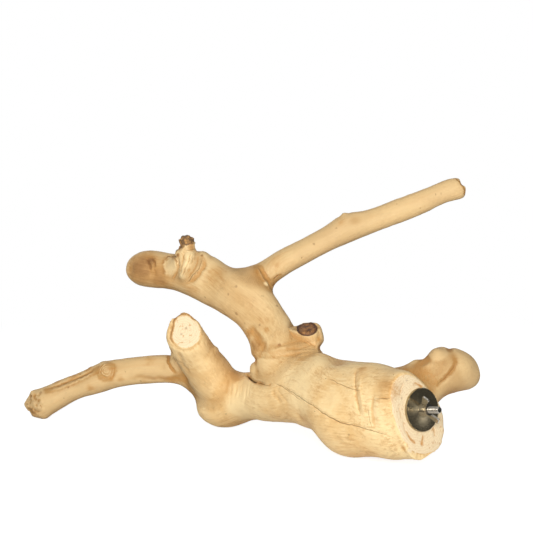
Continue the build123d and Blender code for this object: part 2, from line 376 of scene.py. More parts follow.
# The grain runs from the sawn face to the tips. Its places are measured across each limb's own middle
# line, with the length along the limb drawn together, so that spots on them become streaks
RIM_REACH = 4 * MM
GRAIN_STATION = 9 * MM
GRAIN_DRAW = 0.07
GRAIN_ROUNDS = 3
SAP_ROUNDS = 6
MIDDLE_LINE_ROUNDS = 6
LIMB_SHIFT = 0.31
# A direction that no limb runs in, and the course of a limb too short to have one
CROSSWISE = (0.3, 0.2, 1.0)
SHORT_COURSE = ((0.0, 1.0, 0.0),)


def sawn_end(name):
    """Middle, outward direction and reach of the flat end of a limb."""
    mesh = frame["nodes"][name].data
    normals = np.array([face.normal for face in mesh.polygons])
    areas = np.array([face.area for face in mesh.polygons])
    middles = np.array([face.center for face in mesh.polygons])
    kind_of = np.unique(np.round(normals, 2), axis=0, return_inverse=True)[1].ravel()
    flat = kind_of == np.argmax(np.bincount(kind_of, areas))
    middle = np.average(middles[flat], axis=0, weights=areas[flat])
    facing = normals[flat].mean(0)
    reach = np.linalg.norm(middles[flat] - middle, axis=1).max() + RIM_REACH
    return middle, facing / np.linalg.norm(facing), reach


def smooth_line(line, rounds):
    """Rounds a line's corners and keeps its ends."""
    for _ in range(rounds):
        line[1:-1] = (line[:-2] + 2 * line[1:-1] + line[2:]) / 4
    return line


ends = {name: sawn_end(name) for name in ("trunk", "front_stub", "dead_knot")}
face_middle, face_out = ends["trunk"][:2]
face_depth = (face_middle - skin.points) @ face_out
sap_way = skin.spread(skin.way_from(face_depth < VOXEL), SAP_ROUNDS)
limb_of = np.argmin(limb_gaps, 0)
grain = np.zeros((len(skin.points), 3))
for row in range(len(WOOD_NODES)):
    rows = np.flatnonzero(limb_of == row)
    station = ((sap_way[rows] - sap_way[rows].min()) / GRAIN_STATION).astype(int)
    counts = np.maximum(np.bincount(station), 1)
    middles = np.stack([np.bincount(station, column) / counts for column in skin.points[rows].T], 1)
    middles = smooth_line(middles, MIDDLE_LINE_ROUNDS)
    courses = np.gradient(middles, axis=0) if len(middles) > 1 else np.array(SHORT_COURSE)
    across = np.cross(courses[0], CROSSWISE)
    frames = []
    for course in courses:
        course = course / (np.linalg.norm(course) + SAME_POINT)
        across = across - (across @ course) * course
        across /= np.linalg.norm(across)
        frames.append((across, np.cross(course, across)))
    offset = skin.points[rows] - middles[station]
    grain[rows, :2] = np.einsum("ijk,ik->ij", np.array(frames)[station], offset)
    grain[rows, 2] = GRAIN_DRAW * sap_way[rows]
    grain[rows, 0] += LIMB_SHIFT * row
skin.write("grain", skin.spread(grain, GRAIN_ROUNDS))

# Folds that the limbs grew: half width and depth in millimetres, with a ridge's depth below zero, then
# the pixels that the fold runs through
FOLDS = {
    "upper_limb_foot": (4.5, 1.0, ((254, 356), (267, 356.5), (295, 355), (310, 349))),
    "upper_limb_valley": (10, 3.2, ((247, 325), (257, 338.3), (262.7, 347.8), (264.6, 354))),
    "foot_wrinkle": (2.2, 0.7, ((285, 350), (300, 348.5), (318, 343))),
    "foot_ridge": (2.6, -0.5, ((264, 351), (280, 349), (298, 345), (314, 341))),
    "foot_ridge_low": (2.4, -0.5, ((275, 356), (292, 352), (310, 350), (326, 352))),
    "foot_wrinkle_high": (1.8, 0.6, ((270, 347), (286, 344.5), (300, 340), (312, 337))),
    "foot_wrinkle_low": (1.8, 0.6, ((282, 359), (300, 356), (318, 354.5), (334, 357))),
    "crotch_slit": (4, 3.5, ((245.5, 373), (249, 376.6), (252.5, 380.5), (257, 383.4), (266.5, 385.1))),
    "belly_fold": (4.5, 1.0, ((271.3, 390.9), (276, 396.5), (281.8, 403.3))),
    "belly_fold_lower": (3.5, 0.7, ((275, 388), (282, 396), (288, 404))),
    "crack_shoulder": (6, -0.9, ((290, 388), (312, 402), (338, 418), (352, 424))),
    "trunk_groove": (
        3.8, 1.2,
        ((356.5, 365), (355.3, 377.9), (354.8, 388.2), (355.9, 397.4), (359.4, 411.2), (364, 422.7)),
    ),
    "groove_lip": (3.0, -0.8, ((361, 372), (360, 390), (362, 404), (367, 420))),
    "leaf_dent": (5.2, 1.3, ((372.5, 391), (372, 402), (373, 414), (374.5, 424), (375.5, 432))),
    "rear_stub_crease": (10, 0.8, ((446, 344), (449, 347.5), (453, 353), (456, 361), (455, 367))),
    "rear_stub_crease_low": (5, 0.6, ((456, 362), (451, 372), (444, 379), (436.3, 385.9))),
    "snag_tongue": (9, -4.4, ((190, 250), (189, 258), (186, 267), (183, 276), (181, 282))),
    "snag_fold": (1.8, 1.4, ((185, 250), (184, 259), (182, 268), (181, 276))),
    "snag_fold_middle": (1.6, 1.3, ((190, 251), (189.5, 260), (186, 270), (183, 279))),
    "snag_fold_inner": (1.4, 1.0, ((193, 255), (192, 263), (188, 272), (185, 279))),
    "snag_fold_right": (1.8, 1.6, ((198, 254), (197.5, 262), (193, 271), (187, 280))),
    "snag_foot": (5, 2.8, ((206, 258), (203, 268), (195, 279), (186, 285))),
    "scar_side": (2.6, 1.8, ((177.5, 257), (179, 266), (176, 275), (173, 280))),
    "end_wrinkle": (2.4, 1.3, ((146, 257), (149, 262), (151, 270))),
    "end_wrinkle_right": (2.2, 1.2, ((150.5, 256), (154, 261), (156, 268))),
    "end_wrinkle_low": (1.8, 0.8, ((152, 268), (154.5, 272), (156, 275))),
    "fork_ridge": (2.4, -1.2, ((256.6, 266.3), (262.4, 277.8), (270.4, 290.4))),
    "fork_crease": (3.4, 1.5, ((260, 266), (266, 277), (272.5, 288.5))),
    "collar_lobe": (6.5, -2.8, ((173.5, 351), (173.5, 360), (178, 369))),
    "collar_edge": (3.4, 2.3, ((168.5, 354), (168.5, 362), (172, 369), (178, 375))),
    "collar_crease": (5.0, 1.3, ((178.5, 347), (179, 356), (183.5, 366), (191, 376))),
    "strip_ledge": (3.4, 1.5, ((97.8, 367.3), (82.3, 375.8), (61.3, 384.2), (44.5, 389.8))),
    "strip_ridge": (2.6, -0.9, ((98, 370.5), (82.5, 379), (61.5, 387.5), (46, 393))),
    "lower_limb_flank": (8, 1.3, ((190, 378), (168, 379), (140, 377), (118, 380))),
    "knot_lobe": (3, 1.3, ((321, 329), (320, 336), (316, 342))),
    "knot_foot": (3, 1.2, ((300, 338), (309, 344), (318, 349))),
}
# Drying cracks, and the painted shadow line along the dead knot's lower edge: half width and depth in
# millimetres and darkness, then the pixels that they run through
CRACKS = {
    "slit": (1.3, 4.0, 1.0, ((246, 373.4), (249, 377), (252, 380.6), (255, 382.6))),
    "slit_tail": (0.6, 0.8, 0.45, ((255, 382.6), (262, 384.4), (271.3, 386.1))),
    "long_crack": (
        0.5, 1.2, 0.8,
        (
            (279, 382.3), (291.4, 391.8), (302.9, 399.5), (313.4, 406.2), (323.9, 413.8), (340, 422.4),
            (353.6, 425.8), (372, 430.7), (390.4, 436.4), (404, 442.2),
        ),
    ),
    "second_crack": (0.4, 0.8, 0.6, ((273.2, 382.8), (281.8, 386.1), (295.2, 396.6), (302.9, 402.4))),
    "upper_crack": (0.4, 0.8, 0.65, ((326, 379), (333.5, 380.4), (340, 384.2), (353.6, 389.4), (362, 391))),
    "face_crack": (0.4, 0.8, 0.65, ((374, 398.4), (384.6, 398.8), (391.5, 398.3))),
    "low_dash": (0.5, 0.7, 0.6, ((358, 450.8), (362, 451.8), (368, 452.8))),
    "leaf_edge": (0.5, 0.7, 0.55, ((367.4, 407), (369, 418), (372, 429.5))),
    "groove_edge": (0.5, 0.7, 0.45, ((355.6, 371), (354.6, 384), (354.8, 392))),
    "fork_crack": (0.6, 1.0, 0.85, ((273.2, 279), (276, 277), (279.6, 274.8))),
    "end_line": (1.4, 0.6, 0.4, ((147, 258), (149.5, 264), (151, 271))),
    "end_line_right": (1.4, 0.6, 0.4, ((152, 257), (154.5, 262), (156, 268))),
    "perch_cut": (0.6, 0.6, 0.75, ((455, 177.6), (460, 182.5), (464, 189.5), (464.3, 196))),
    "fork_line": (0.4, 0.6, 0.5, ((257.5, 267), (263, 278), (271, 290))),
    "strip_line": (0.6, 1.0, 0.75, ((97, 368), (82.3, 375.8), (61.3, 384.2), (45, 389.6))),
    "scar_top": (0.9, 1.6, 1.0, ((164.5, 259), (168, 256.4), (174, 256), (178, 258.5))),
    "snag_line": (0.7, 1.2, 0.7, ((178.5, 254), (178.3, 262), (179.5, 272), (178, 279))),
    "snag_line_middle": (0.4, 0.6, 0.55, ((190, 252), (189.5, 260), (186, 270), (183, 279))),
    "snag_line_right": (0.6, 1.0, 0.6, ((203, 258), (199, 268), (191, 278), (186, 283))),
    "snag_collar": (0.5, 0.8, 0.6, ((184, 249), (189, 250.5), (195, 249), (199, 253))),
    "rear_line": (0.4, 0.8, 0.6, ((456, 362), (451, 372), (444, 379), (437, 385))),
    # The painted shadow line along the dead knot's lower edge
    "knot_edge_shadow": (0.5, 0.7, 0.35, ((299, 334), (305, 340), (312, 345), (318, 348))),
    "front_check": (0.6, 0.8, 0.8, ((177.4, 345), (180, 342.6), (183.5, 341.8))),
    "face_streak": (2.6, 0.3, 1.0, ((405.5, 430), (408.5, 436), (413, 441), (416.3, 444.6))),
    "face_streak_middle": (3.2, 0.3, 1.0, ((423.5, 434), (422.4, 440), (421, 447))),
    "face_streak_top": (2.6, 0.3, 1.0, ((414, 382), (418, 385), (424, 387))),
    "face_streak_left": (1.6, 0.3, 0.45, ((398.6, 404), (400.4, 414), (402, 420))),
    "face_streak_low": (1.6, 0.3, 0.45, ((402.5, 420), (404.5, 428), (406, 434))),
    "face_streak_right": (2.0, 0.3, 0.6, ((432.5, 425), (434.5, 431), (435, 437))),
    "face_streak_high": (1.0, 0.4, 0.6, ((403, 382), (401, 389), (399.5, 396))),
}
TRAIL_STEP = 1.6
WANDER_LENGTH = 4
FOLD_WANDER = 1.2
CRACK_WANDER = 0.9
WOOD_SEED = 7


def trail(pixels, wander=0.0):
    """Line on the wood through pixels of the photograph, with a little wandering."""
    line = []
    for (u, v), (to_u, to_v) in zip(pixels, pixels[1:]):
        count = max(1, round(math.hypot(to_u - u, to_v - v) / TRAIL_STEP))
        for part in range(count + 1):
            here = Vector((u + (to_u - u) * part / count, v + (to_v - v) * part / count, 0))
            here += wander * noise.noise_vector(here / WANDER_LENGTH)
            line.append(touch(here.x, here.y))
    steps = np.linalg.norm(np.diff(line, axis=0), axis=1)
    return np.array(line)[np.concatenate(([True], steps > SAME_POINT))]


noise.seed_set(WOOD_SEED)
wood_tree = skin.tree()
fold_lines = {name: trail(fold[-1], FOLD_WANDER) for name, fold in FOLDS.items()}
fold_sizes = {name: fold[:-1] for name, fold in FOLDS.items()}
crack_lines = {name: trail(crack[-1], CRACK_WANDER) for name, crack in CRACKS.items()}
crack_sizes = {name: crack[:-1] for name, crack in CRACKS.items()}

# Cracks along the grain on the sides that the camera doesn't see, clear of the sawn face and the table
BACK_CRACKS = 16
BACK_CRACK_LENGTHS = (18 * MM, 60 * MM)
BACK_CRACK_SIZES = (0.45, 0.9, 0.6)
BACK_CRACK_ROUNDS = 14
BACK_CLEARANCE = 15 * MM
BACK_TURN = 0.15

sap_rise = np.abs(sap_way[skin.end] - sap_way[skin.start]) / skin.link_lengths()


def grain_line(point, length):
    """Line along the grain from a point of the skin."""
    line = [skin.points[point]]
    for _ in range(round(length / VOXEL)):
        links = slice(skin.first[point], skin.first[point + 1] if point + 1 < len(skin.first) else None)
        neighbours = skin.end[links]
        onward = np.sign(sap_way[neighbours] - sap_way[point])
        point = neighbours[np.argmax(sap_rise[links] * onward)]
        line.append(skin.points[point])
    return smooth_line(np.array(line), BACK_CRACK_ROUNDS)


chance = np.random.default_rng(WOOD_SEED)
sightlines = skin.points - np.array(CAMERA_PLACE)
sightlines /= np.linalg.norm(sightlines, axis=1)[:, None]
behind = np.einsum("ij,ij->i", sightlines, skin.normals) > BACK_TURN
behind &= (face_depth > BACK_CLEARANCE) & (skin.points[:, 2] > cad_box[0][2] + BACK_CLEARANCE)
for number, point in enumerate(chance.choice(np.flatnonzero(behind), BACK_CRACKS, replace=False)):
    name = f"back_crack_{number}"
    crack_lines[name] = grain_line(point, chance.uniform(*BACK_CRACK_LENGTHS))
    crack_sizes[name] = BACK_CRACK_SIZES

# Fine folds side by side in the crotch of the front stub, in pixels, with their sizes in millimetres
CROTCH_FOLDS = 7
CROTCH_FOLD_FIRST = 229
CROTCH_FOLD_STEP = 3.4
CROTCH_FOLD_SHIFT = 1.3
CROTCH_FOLD_TOP = 376
CROTCH_FOLD_DROP = 8
CROTCH_FOLD_WIDTHS = (2.2, 3.2)
CROTCH_FOLD_DEPTHS = (0.45, 0.9)
CROTCH_FOLD_LENGTHS = (14, 28)
CROTCH_FOLD_HEAD = 1.5
CROTCH_FOLD_NECK = 9
CROTCH_FOLD_FOOT = 2
for number in range(CROTCH_FOLDS):
    u = CROTCH_FOLD_FIRST + CROTCH_FOLD_STEP * number
    u += chance.uniform(-CROTCH_FOLD_SHIFT, CROTCH_FOLD_SHIFT)
    top = CROTCH_FOLD_TOP + chance.uniform(0, CROTCH_FOLD_DROP)
    name = f"crotch_fold_{number}"
    fold_sizes[name] = (chance.uniform(*CROTCH_FOLD_WIDTHS), chance.uniform(*CROTCH_FOLD_DEPTHS))
    head = (u + CROTCH_FOLD_HEAD, top)
    neck = (u, top + CROTCH_FOLD_NECK)
    foot = (u - CROTCH_FOLD_FOOT, top + chance.uniform(*CROTCH_FOLD_LENGTHS))
    fold_lines[name] = trail((head, neck, foot))

# Rings of small ridges round a knot or an end: pixel, outer radius, spacing and height in millimetres
RINGS = {
    "lower_limb_knot": (106.5, 371.5, 14, 3.8, 1.2),
    "trunk_eye": (349, 434.7, 4.5, 2.6, 0.5),
    "front_stub_wrinkles": (188, 331, 70, 6.4, 0.35),
}
FINE_LEVELS = 2
FINE_REACH = 3.4 * MM
FINE_FOLD = 5
FINE_RING = 20
RIM_TURN = 0.97
RIM_EASE_ROUNDS = 8
RIM_EASE_SHARE = 0.5


def near_rims():
    """Whether each point lies near the edge of a sawn end."""
    near = np.zeros(len(skin.points), bool)
    for middle, facing, reach in ends.values():
        offset = skin.points - middle
        inside = np.linalg.norm(offset, axis=1) < reach
        near |= inside & (np.abs(offset @ facing) < RIM_REACH) & (skin.normals @ facing < RIM_TURN)
    return near


# Faces are divided where there is something fine to carve, and cracks and rims are divided twice
for level in range(FINE_LEVELS):
    fine = near_rims()
    fine_lines = list(crack_lines.values())
    if level == 0:
        fine_lines += [line for name, line in fold_lines.items() if fold_sizes[name][0] < FINE_FOLD]
        for u, v, radius, *_ in RINGS.values():
            if radius < FINE_RING:
                fine[gap_from(u, v) < radius * MM] = True
    for line in fine_lines:
        fine[skin.measure(line, FINE_REACH / (1 + level))[0]] = True
    shell = bmesh.new()
    shell.from_mesh(wood.data)
    shell.verts.ensure_lookup_table()
    edges = [edge for edge in shell.edges if fine[edge.verts[0].index] and fine[edge.verts[1].index]]
    bmesh.ops.subdivide_edges(shell, edges=edges, cuts=1, use_grid_fill=True)
    shell.to_mesh(wood.data)
    shell.free()
    skin = Skin(wood.data)
skin.relax(RIM_EASE_ROUNDS, RIM_EASE_SHARE * near_rims())

# Round swellings, and hollows with a rise below zero: pixel, radius and rise in millimetres
SWELLINGS = {
    "lower_limb_knot": (105.5, 369, 13, 2.8),
    "twig_scar": (170, 268, 9, 1.2),
    "perch_knob": (344, 214.5, 7, 2.2),
    "perch_hollow": (354, 220, 15, -0.7),
    "crotch_hollow": (269.4, 384.2, 4, -1.2),
    "foot_dent": (279.5, 345, 3.5, -0.6),
    "front_stub_dent": (207, 357, 9, -1.0),
    "trunk_dent": (318, 372, 16, -1.3),
    "belly_dent": (300, 418, 14, -1.2),
    "rim_dent": (404, 447, 5, -1.0),
    "lobe_left": (437, 353, 15, 3.4),
    "lobe_shoulder": (419, 363, 13, -2.2),
    "lobe_right": (467, 366, 20, 1.8),
    "crotch_bulb": (254.8, 370.5, 18, 6),
    "limb_end": (129.5, 270, 13, -2.2),
    "tip_corner": (32, 392, 5, 1.8),
    "strip_notch": (80, 373.5, 4, -1.6),
    "strip_bump": (68, 377.5, 4, 0.9),
    "strip_bump_right": (90, 367.5, 4, 0.9),
    "face_foot": (414, 453, 28, 7),
}
FOLD_TAPER = 4
RING_PATCH = 9 * MM
RING_BEND = 5.5
RING_MOST = 1.5

# Carving: lift is how far each point moves out of the wood
lift = np.zeros(len(skin.points))
for name, line in fold_lines.items():
    width, depth = fold_sizes[name]
    rows, gap, share, _ = skin.measure(line, width * MM)
    taper = smoothstep(FOLD_TAPER * np.minimum(share, 1 - share))
    lift[rows] -= depth * MM * mound(gap, width * MM) * taper
for u, v, radius, height in SWELLINGS.values():
    lift += height * MM * mound(gap_from(u, v), radius * MM)
for u, v, radius, spacing, height in RINGS.values():
    gap = gap_from(u, v)
    rows = np.flatnonzero(gap < radius * MM)
    patchy = np.array([0.5 + noise.noise(Vector(skin.points[row] / RING_PATCH)) for row in rows])
    waves = np.cos(2 * math.pi * gap[rows] / (spacing * MM) + RING_BEND * patchy)
    lift[rows] += height * MM * np.clip(patchy, 0, RING_MOST) * waves * plateau(gap[rows], radius * MM)

# Sawn ends stay flat. The front stub's is bevelled round an uneven oval: its pixel and half sizes, the
# waves of its edge (swing, count and phase) and the nick in it (depth, direction and width)
FAR_OFF = 9.0
END_TURN = 0.8
FRONT_CUT = (186.9, 332.0, 13.8, 15.8)
FRONT_CUT_WAVES = ((0.05, 3, 1), (0.04, 5, 0))
FRONT_CUT_NICK = (0.16, -1.1, 0.25)
FRONT_BEVEL = 0.9 * MM
FRONT_BEVEL_SHARE = 0.22
FRONT_BEVEL_FALL = 14
# The brown rest of the bark beside the cut: its place and width as shares of the oval, and its direction
FRONT_BARK_SHARES = (0.16, 0.09)
FRONT_BARK_TURN = 2.36


def end_places(name):
    """Offset from a sawn end, depth below it, radius from its axis, and what is near and level with it."""
    middle, facing, reach = ends[name]
    offset = skin.points - middle
    depth = -(offset @ facing)
    radius = np.linalg.norm(offset + depth[:, None] * facing, axis=1)
    near = (np.linalg.norm(offset, axis=1) < reach) & (depth < 3 * RIM_REACH)
    return offset, depth, radius, near, near & (skin.normals @ facing > END_TURN)


def oval_share(u, v, across, tall):
    """Distance of the skin's points from an oval's middle in the photograph, as a share of its radius."""
    return np.hypot((pixel_u - u) / across, (pixel_v - v) / tall)


pixel_u, pixel_v = pixel_of(skin.points)
cut_depth = np.full(len(skin.points), FAR_OFF)
ring_radius = np.zeros(len(skin.points))
for name in ("trunk", "front_stub"):
    _, depth, radius, near, level_with = end_places(name)
    lift[level_with & (depth < MM)] = 0
    below = depth / MM
    if name == "front_stub":
        round_cut = np.arctan2(pixel_v - FRONT_CUT[1], pixel_u - FRONT_CUT[0])
        uneven = 1
        for swing, count, phase in FRONT_CUT_WAVES:
            uneven = uneven + swing * np.sin(count * round_cut + phase)
        uneven -= FRONT_CUT_NICK[0] * bell(round_cut, *FRONT_CUT_NICK[1:])
        beyond = oval_share(*FRONT_CUT) / uneven - 1
        bevel = FRONT_BEVEL * smoothstep(beyond / FRONT_BEVEL_SHARE) * smoothstep(1.5 - depth / RIM_REACH)
        lift -= np.where(near, bevel, 0)
        below = np.maximum(below, FRONT_BEVEL_FALL * beyond)
        turned = smoothstep(0.5 + np.cos(round_cut + FRONT_BARK_TURN))
        front_bark = np.where(near, bell(beyond, *FRONT_BARK_SHARES) * turned, 0)
    cut_depth = np.where(near, np.minimum(cut_depth, below), cut_depth)
    ring_radius = np.where(near, radius / MM, ring_radius)

# The dead knot's top leans towards the front and is stretched into an oval, and its heart is decayed.
# The heart's oval has a pixel and half sizes
KNOT_FACE_DEPTH = 2.2 * MM
KNOT_FACE_TURN = 0.9
KNOT_LEAN = 0.4
KNOT_LEAN_REACH = 9 * MM
KNOT_DISC = (307, 328.8)
KNOT_STRETCH = (1.15, 0.65)
KNOT_HEART = (*KNOT_DISC, 10.6, 7.0)
HEART_RIM = 1.6 * MM
HEART_DEPTH = 1.2 * MM
HEART_TURN = 0.3
offset, depth, radius, near, level_with = end_places("dead_knot")
lift[level_with & (depth < MM)] = 0
facing, reach = ends["dead_knot"][1:]
flat = level_with & (np.abs(depth) < KNOT_FACE_DEPTH) & (skin.normals @ facing > KNOT_FACE_TURN)
cap = smoothstep(1.5 - depth / KNOT_LEAN_REACH) * (np.abs(depth) < 2 * KNOT_LEAN_REACH)
cap *= smoothstep(5 - 4 * radius / (reach - RIM_REACH))
right = KNOT_STRETCH[0] * (pixel_u - pixel_u[flat].mean()) + KNOT_DISC[0] - pixel_u
down = KNOT_STRETCH[1] * (pixel_v - pixel_v[flat].mean()) + KNOT_DISC[1] - pixel_v
stretch = PIXEL_SIZE * (right[:, None] * photo_right + down[:, None] * photo_down)
stretch -= KNOT_LEAN * offset[:, 2:] * facing
skin.points += (cap[:, None] * stretch).astype(np.float32)
pixel_u, pixel_v = pixel_of(skin.points)
inside_heart = (1 - oval_share(*KNOT_HEART)) * KNOT_HEART[3] * PIXEL_SIZE
towards_camera = skin.normals @ photo_inward < HEART_TURN
inside_heart = np.where(near & towards_camera, inside_heart, -RIM_REACH)
lift -= HEART_DEPTH * smoothstep(inside_heart / HEART_RIM)

# Broken ends: the snag's top, past a ragged line between two pixels, and the lower limb's tip are torn
SNAG_BREAK = ((180, 249.5), (195, 242.5))
SNAG_BREAK_EDGE = 2
SNAG_RAGGEDNESS = 3
SNAG_REACH = 1.5 * FORK_REACH
TIP_BREAK = (33, 405)
TIP_BREAK_REACH = 20 * MM
BREAK_GRAIN = 4 * MM
BREAK_DEPTH = 2.8 * MM
BREAK_LEAST = 0.02
BREAK_FALL = 0.9
BREAK_GAP = 2
BREAK_OCTAVES = 4
(left_u, left_v), (right_u, right_v) = SNAG_BREAK
break_v = left_v + (pixel_u - left_u) * (right_v - left_v) / (right_u - left_u)
near_snag = gap_from((left_u + right_u) / 2, (left_v + right_v) / 2) < SNAG_REACH
for point in np.flatnonzero(near_snag):
    break_v[point] += SNAG_RAGGEDNESS * noise.noise(Vector(skin.points[point] / BREAK_GRAIN))
past_break = (break_v - pixel_v + SNAG_BREAK_EDGE / 2) / SNAG_BREAK_EDGE
broken = np.where(near_snag, smoothstep(past_break), 0)
torn = plateau(gap_from(*TIP_BREAK), TIP_BREAK_REACH)
for point in np.flatnonzero(broken + torn > BREAK_LEAST):
    spot = Vector(skin.points[point] / BREAK_GRAIN)
    rough = noise.fractal(spot, BREAK_FALL, BREAK_GAP, BREAK_OCTAVES)
    lift[point] += BREAK_DEPTH * (broken[point] + torn[point]) * rough

# The twig scar: a flat oval where a twig came off, with a groove round it. The oval has a pixel and half
# sizes, the shares are of its radius, and the groove has painted shade with a strength all round and more at
# the top
TWIG_SCAR = (170, 267, 6.6, 9.8)
TWIG_SCAR_REACH = 17 * MM
TWIG_SCAR_RISE = 0.7 * MM
TWIG_SCAR_RISE_SHARES = (1.3, 0.4)
TWIG_SCAR_GROOVE = 0.5 * MM
TWIG_SCAR_GROOVE_SHARES = (1.12, 0.11)
TWIG_SCAR_RAGGEDNESS = 0.3
TWIG_SCAR_SHADE = (0.3, 0.7)
TWIG_SCAR_SHADE_SHARE = 1.6
scar_u, scar_v, _, scar_tall = TWIG_SCAR
scar = oval_share(*TWIG_SCAR)
scar[gap_from(scar_u, scar_v) > TWIG_SCAR_REACH] = FAR_OFF
for point in np.flatnonzero(scar < 2):
    scar[point] += TWIG_SCAR_RAGGEDNESS * noise.noise(Vector(skin.points[point] / BREAK_GRAIN))
scar_groove = bell(scar, *TWIG_SCAR_GROOVE_SHARES)
scar_edge, scar_fall = TWIG_SCAR_RISE_SHARES
lift += TWIG_SCAR_RISE * smoothstep((scar_edge - scar) / scar_fall) - TWIG_SCAR_GROOVE * scar_groove
# Painted shade in the groove, stronger towards its top
scar_top = mound(pixel_v - scar_v + scar_tall, TWIG_SCAR_SHADE_SHARE * scar_tall)
scar_groove_shade = scar_groove * (TWIG_SCAR_SHADE[0] + TWIG_SCAR_SHADE[1] * scar_top)

# Cracks, and the painted shadow line under the knot: the side and darkness of the nearest one are kept for
# the finish, and streaks on the sawn face widen along their length
CRACK_TAPER = 5
CRACK_MOUTH = 1.4
CRACK_STAIN = 1.5
STREAK_START = 0.35
FACE_EASE_ROUNDS = 4
FACE_EASE_SHARE = 0.5
crack_side = np.full(len(skin.points), FAR_OFF)
crack_dark = np.zeros(len(skin.points))
for name, line in crack_lines.items():
    width, depth, dark = crack_sizes[name]
    rows, gap, share, side = skin.measure(line, FINE_REACH)
    taper = smoothstep(CRACK_TAPER * np.minimum(share, 1 - share))
    lift[rows] -= depth * MM * taper * np.clip(1 - gap / (CRACK_MOUTH * width * MM), 0, 1)
    nearest = gap / MM < np.abs(crack_side[rows])
    widening = STREAK_START + share if name.startswith("face_streak") else 1
    crack_side[rows[nearest]] = (side * gap / MM / (CRACK_STAIN * width * widening))[nearest]
    crack_dark[rows[nearest]] = (dark * taper)[nearest]

# The carving is done, and what stands proud of the sawn face is cut off flat
skin.points += (skin.normals * lift[:, None]).astype(np.float32)
proud = np.clip((skin.points - face_middle) @ face_out, 0, None)
skin.points -= (proud[:, None] * face_out).astype(np.float32)
skin.relax(FACE_EASE_ROUNDS, FACE_EASE_SHARE * smoothstep(proud / MM))

# Brown stains, and painted shade where less light falls: in the fork's valley and the valley bands, under
# the limbs and the knot, on the trunk's right side, the collar lobe's top and the upper limb's far end. Each
# has a pixel, radius in millimetres and strength
STAINS_AND_SHADE = {
    "upper_limb_end": (140, 268, 46, 0.95),
    "snag_spot": (178, 255, 5, 1.0),
    "snag_spot_right": (202, 256, 4, 0.9),
    "end_wrinkles": (149, 261, 17, 1.15),
    "trunk_right": (386, 388, 34, 0.5),
    "rear_root": (418, 371, 26, 0.6),
    "trunk_top": (362, 370, 20, 0.5),
    "strip_low": (58, 381, 15, 0.75),
    "strip_high": (88, 369, 13, 0.75),
    "knot_under": (111, 379, 7, 0.6),
    "limb_low_edge": (90, 388, 12, 0.5),
    "limb_low_edge_right": (120, 379, 10, 0.5),
    "limb_left": (243, 330, 14, 0.4),
    "limb_left_half": (158, 277, 38, 0.75),
    "limb_under": (192, 292, 26, 0.45),
    "limb_shade": (222, 272, 22, 0.35),
    "scar_edge": (171, 257, 6, 0.8),
    "snag_neck": (191, 247, 9, 0.8),
    "fork_valley": (255, 346, 26, 0.7),
    "orange_patch": (266.5, 330.6, 8, 0.5),
    "limb_streak": (210.7, 270.9, 7, 0.5),
    "crotch": (252, 376, 10, 0.5),
    "trunk_patch": (318, 388, 18, 0.35),
    "face_rim": (404.5, 447, 10, 0.6),
    "lower_limb_top": (150, 360, 16, 0.45),
    "lower_limb_under": (172, 382, 14, 0.5),
    "lower_limb_smudge": (144, 381, 9, 0.45),
    "strip": (74, 375, 20, 0.6),
    "lower_limb_tip": (33, 412, 16, 0.6),
    "tip_pit": (34, 395, 7, 0.6),
    "knot_side": (320, 340, 12, 0.5),
    "perch_tip": (461.5, 184, 9, 0.75),
    "perch_left": (276, 262, 30, 0.35),
    "perch_knob": (341, 222, 14, 0.4),
    "face_top": (414, 384, 6, 0.35),
    "face_right": (433, 430, 7, 0.35),
    "collar_lobe": (171.5, 351, 8, 0.7),
    "valley_band": (249, 334, 13, 0.7),
    "valley_band_low": (255, 345, 12, 0.8),
}
# Bleached places, and painted light where the lamp falls strongest: on the crotch, the belly, the trunk's
# left side and middle and the front stub's shaft. Each has a pixel, radius in millimetres and strength
BLEACHES_AND_LIGHT = {
    "leaf_dent": (374, 412, 9, 0.5),
    "leaf_dent_low": (375, 424, 7, 0.5),
    "fork_streak": (266, 284, 5, 0.9),
    "crotch": (243, 388, 30, 1.2),
    "snag_neck": (190, 255, 9, 0.8),
    "snag_knob": (187, 265, 9, 0.9),
    "snag_toe": (183, 275, 8, 0.9),
    "belly": (238, 408, 34, 0.9),
    "trunk_left": (300, 395, 40, 0.7),
    "front_shaft": (203, 365, 22, 0.5),
    "lower_knot": (108, 374, 9, 0.4),
    "trunk_light": (330, 402, 30, 0.7),
    "foot": (300, 349, 14, 0.3),
}
# Pin marks: pixel, then radius in millimetres
SPECKS = (
    (236, 286.4, 1.6), (236.5, 314, 1.6), (244.6, 323, 1.4), (227.9, 293.9, 1.3), (205, 297.3, 1.2),
    (262.4, 296.2, 1.3), (279.5, 345, 1.5), (277, 305.7, 1.4), (259.8, 324.9, 1.2), (177.4, 255.4, 1.6),
    (202, 255.4, 1.5), (225.9, 413.8, 1.2), (64, 398, 1.2), (336.8, 228, 1.2), (313.9, 243.9, 1.3),
    (435.8, 194.4, 1.2), (440.8, 193.7, 1.1), (420, 208, 1.1), (470.7, 367, 1.5), (186, 328, 1.3),
    (181.4, 334, 1.3), (407, 380.8, 1.2), (401.6, 398, 1.1), (31.8, 396.8, 2.2),
    (40.3, 392.6, 2.0), (349, 434.7, 1.3), (141, 381, 1.4), (125, 372, 1.0), (367, 424, 1.0),
)
BLEACH_EASE = 1.3
SPECK_EASE = (1.6, 0.8)
FRONT_BARK_STAIN = 1.1
SCAR_BLEACH = 0.62
SCAR_BLEACH_SHARES = (1.2, 1.05, 0.3)
HOLLOW_ROUNDS = 14
TIP_BROWN = 0.5
BARK_START = 0.2
BARK_FULL = 2.5

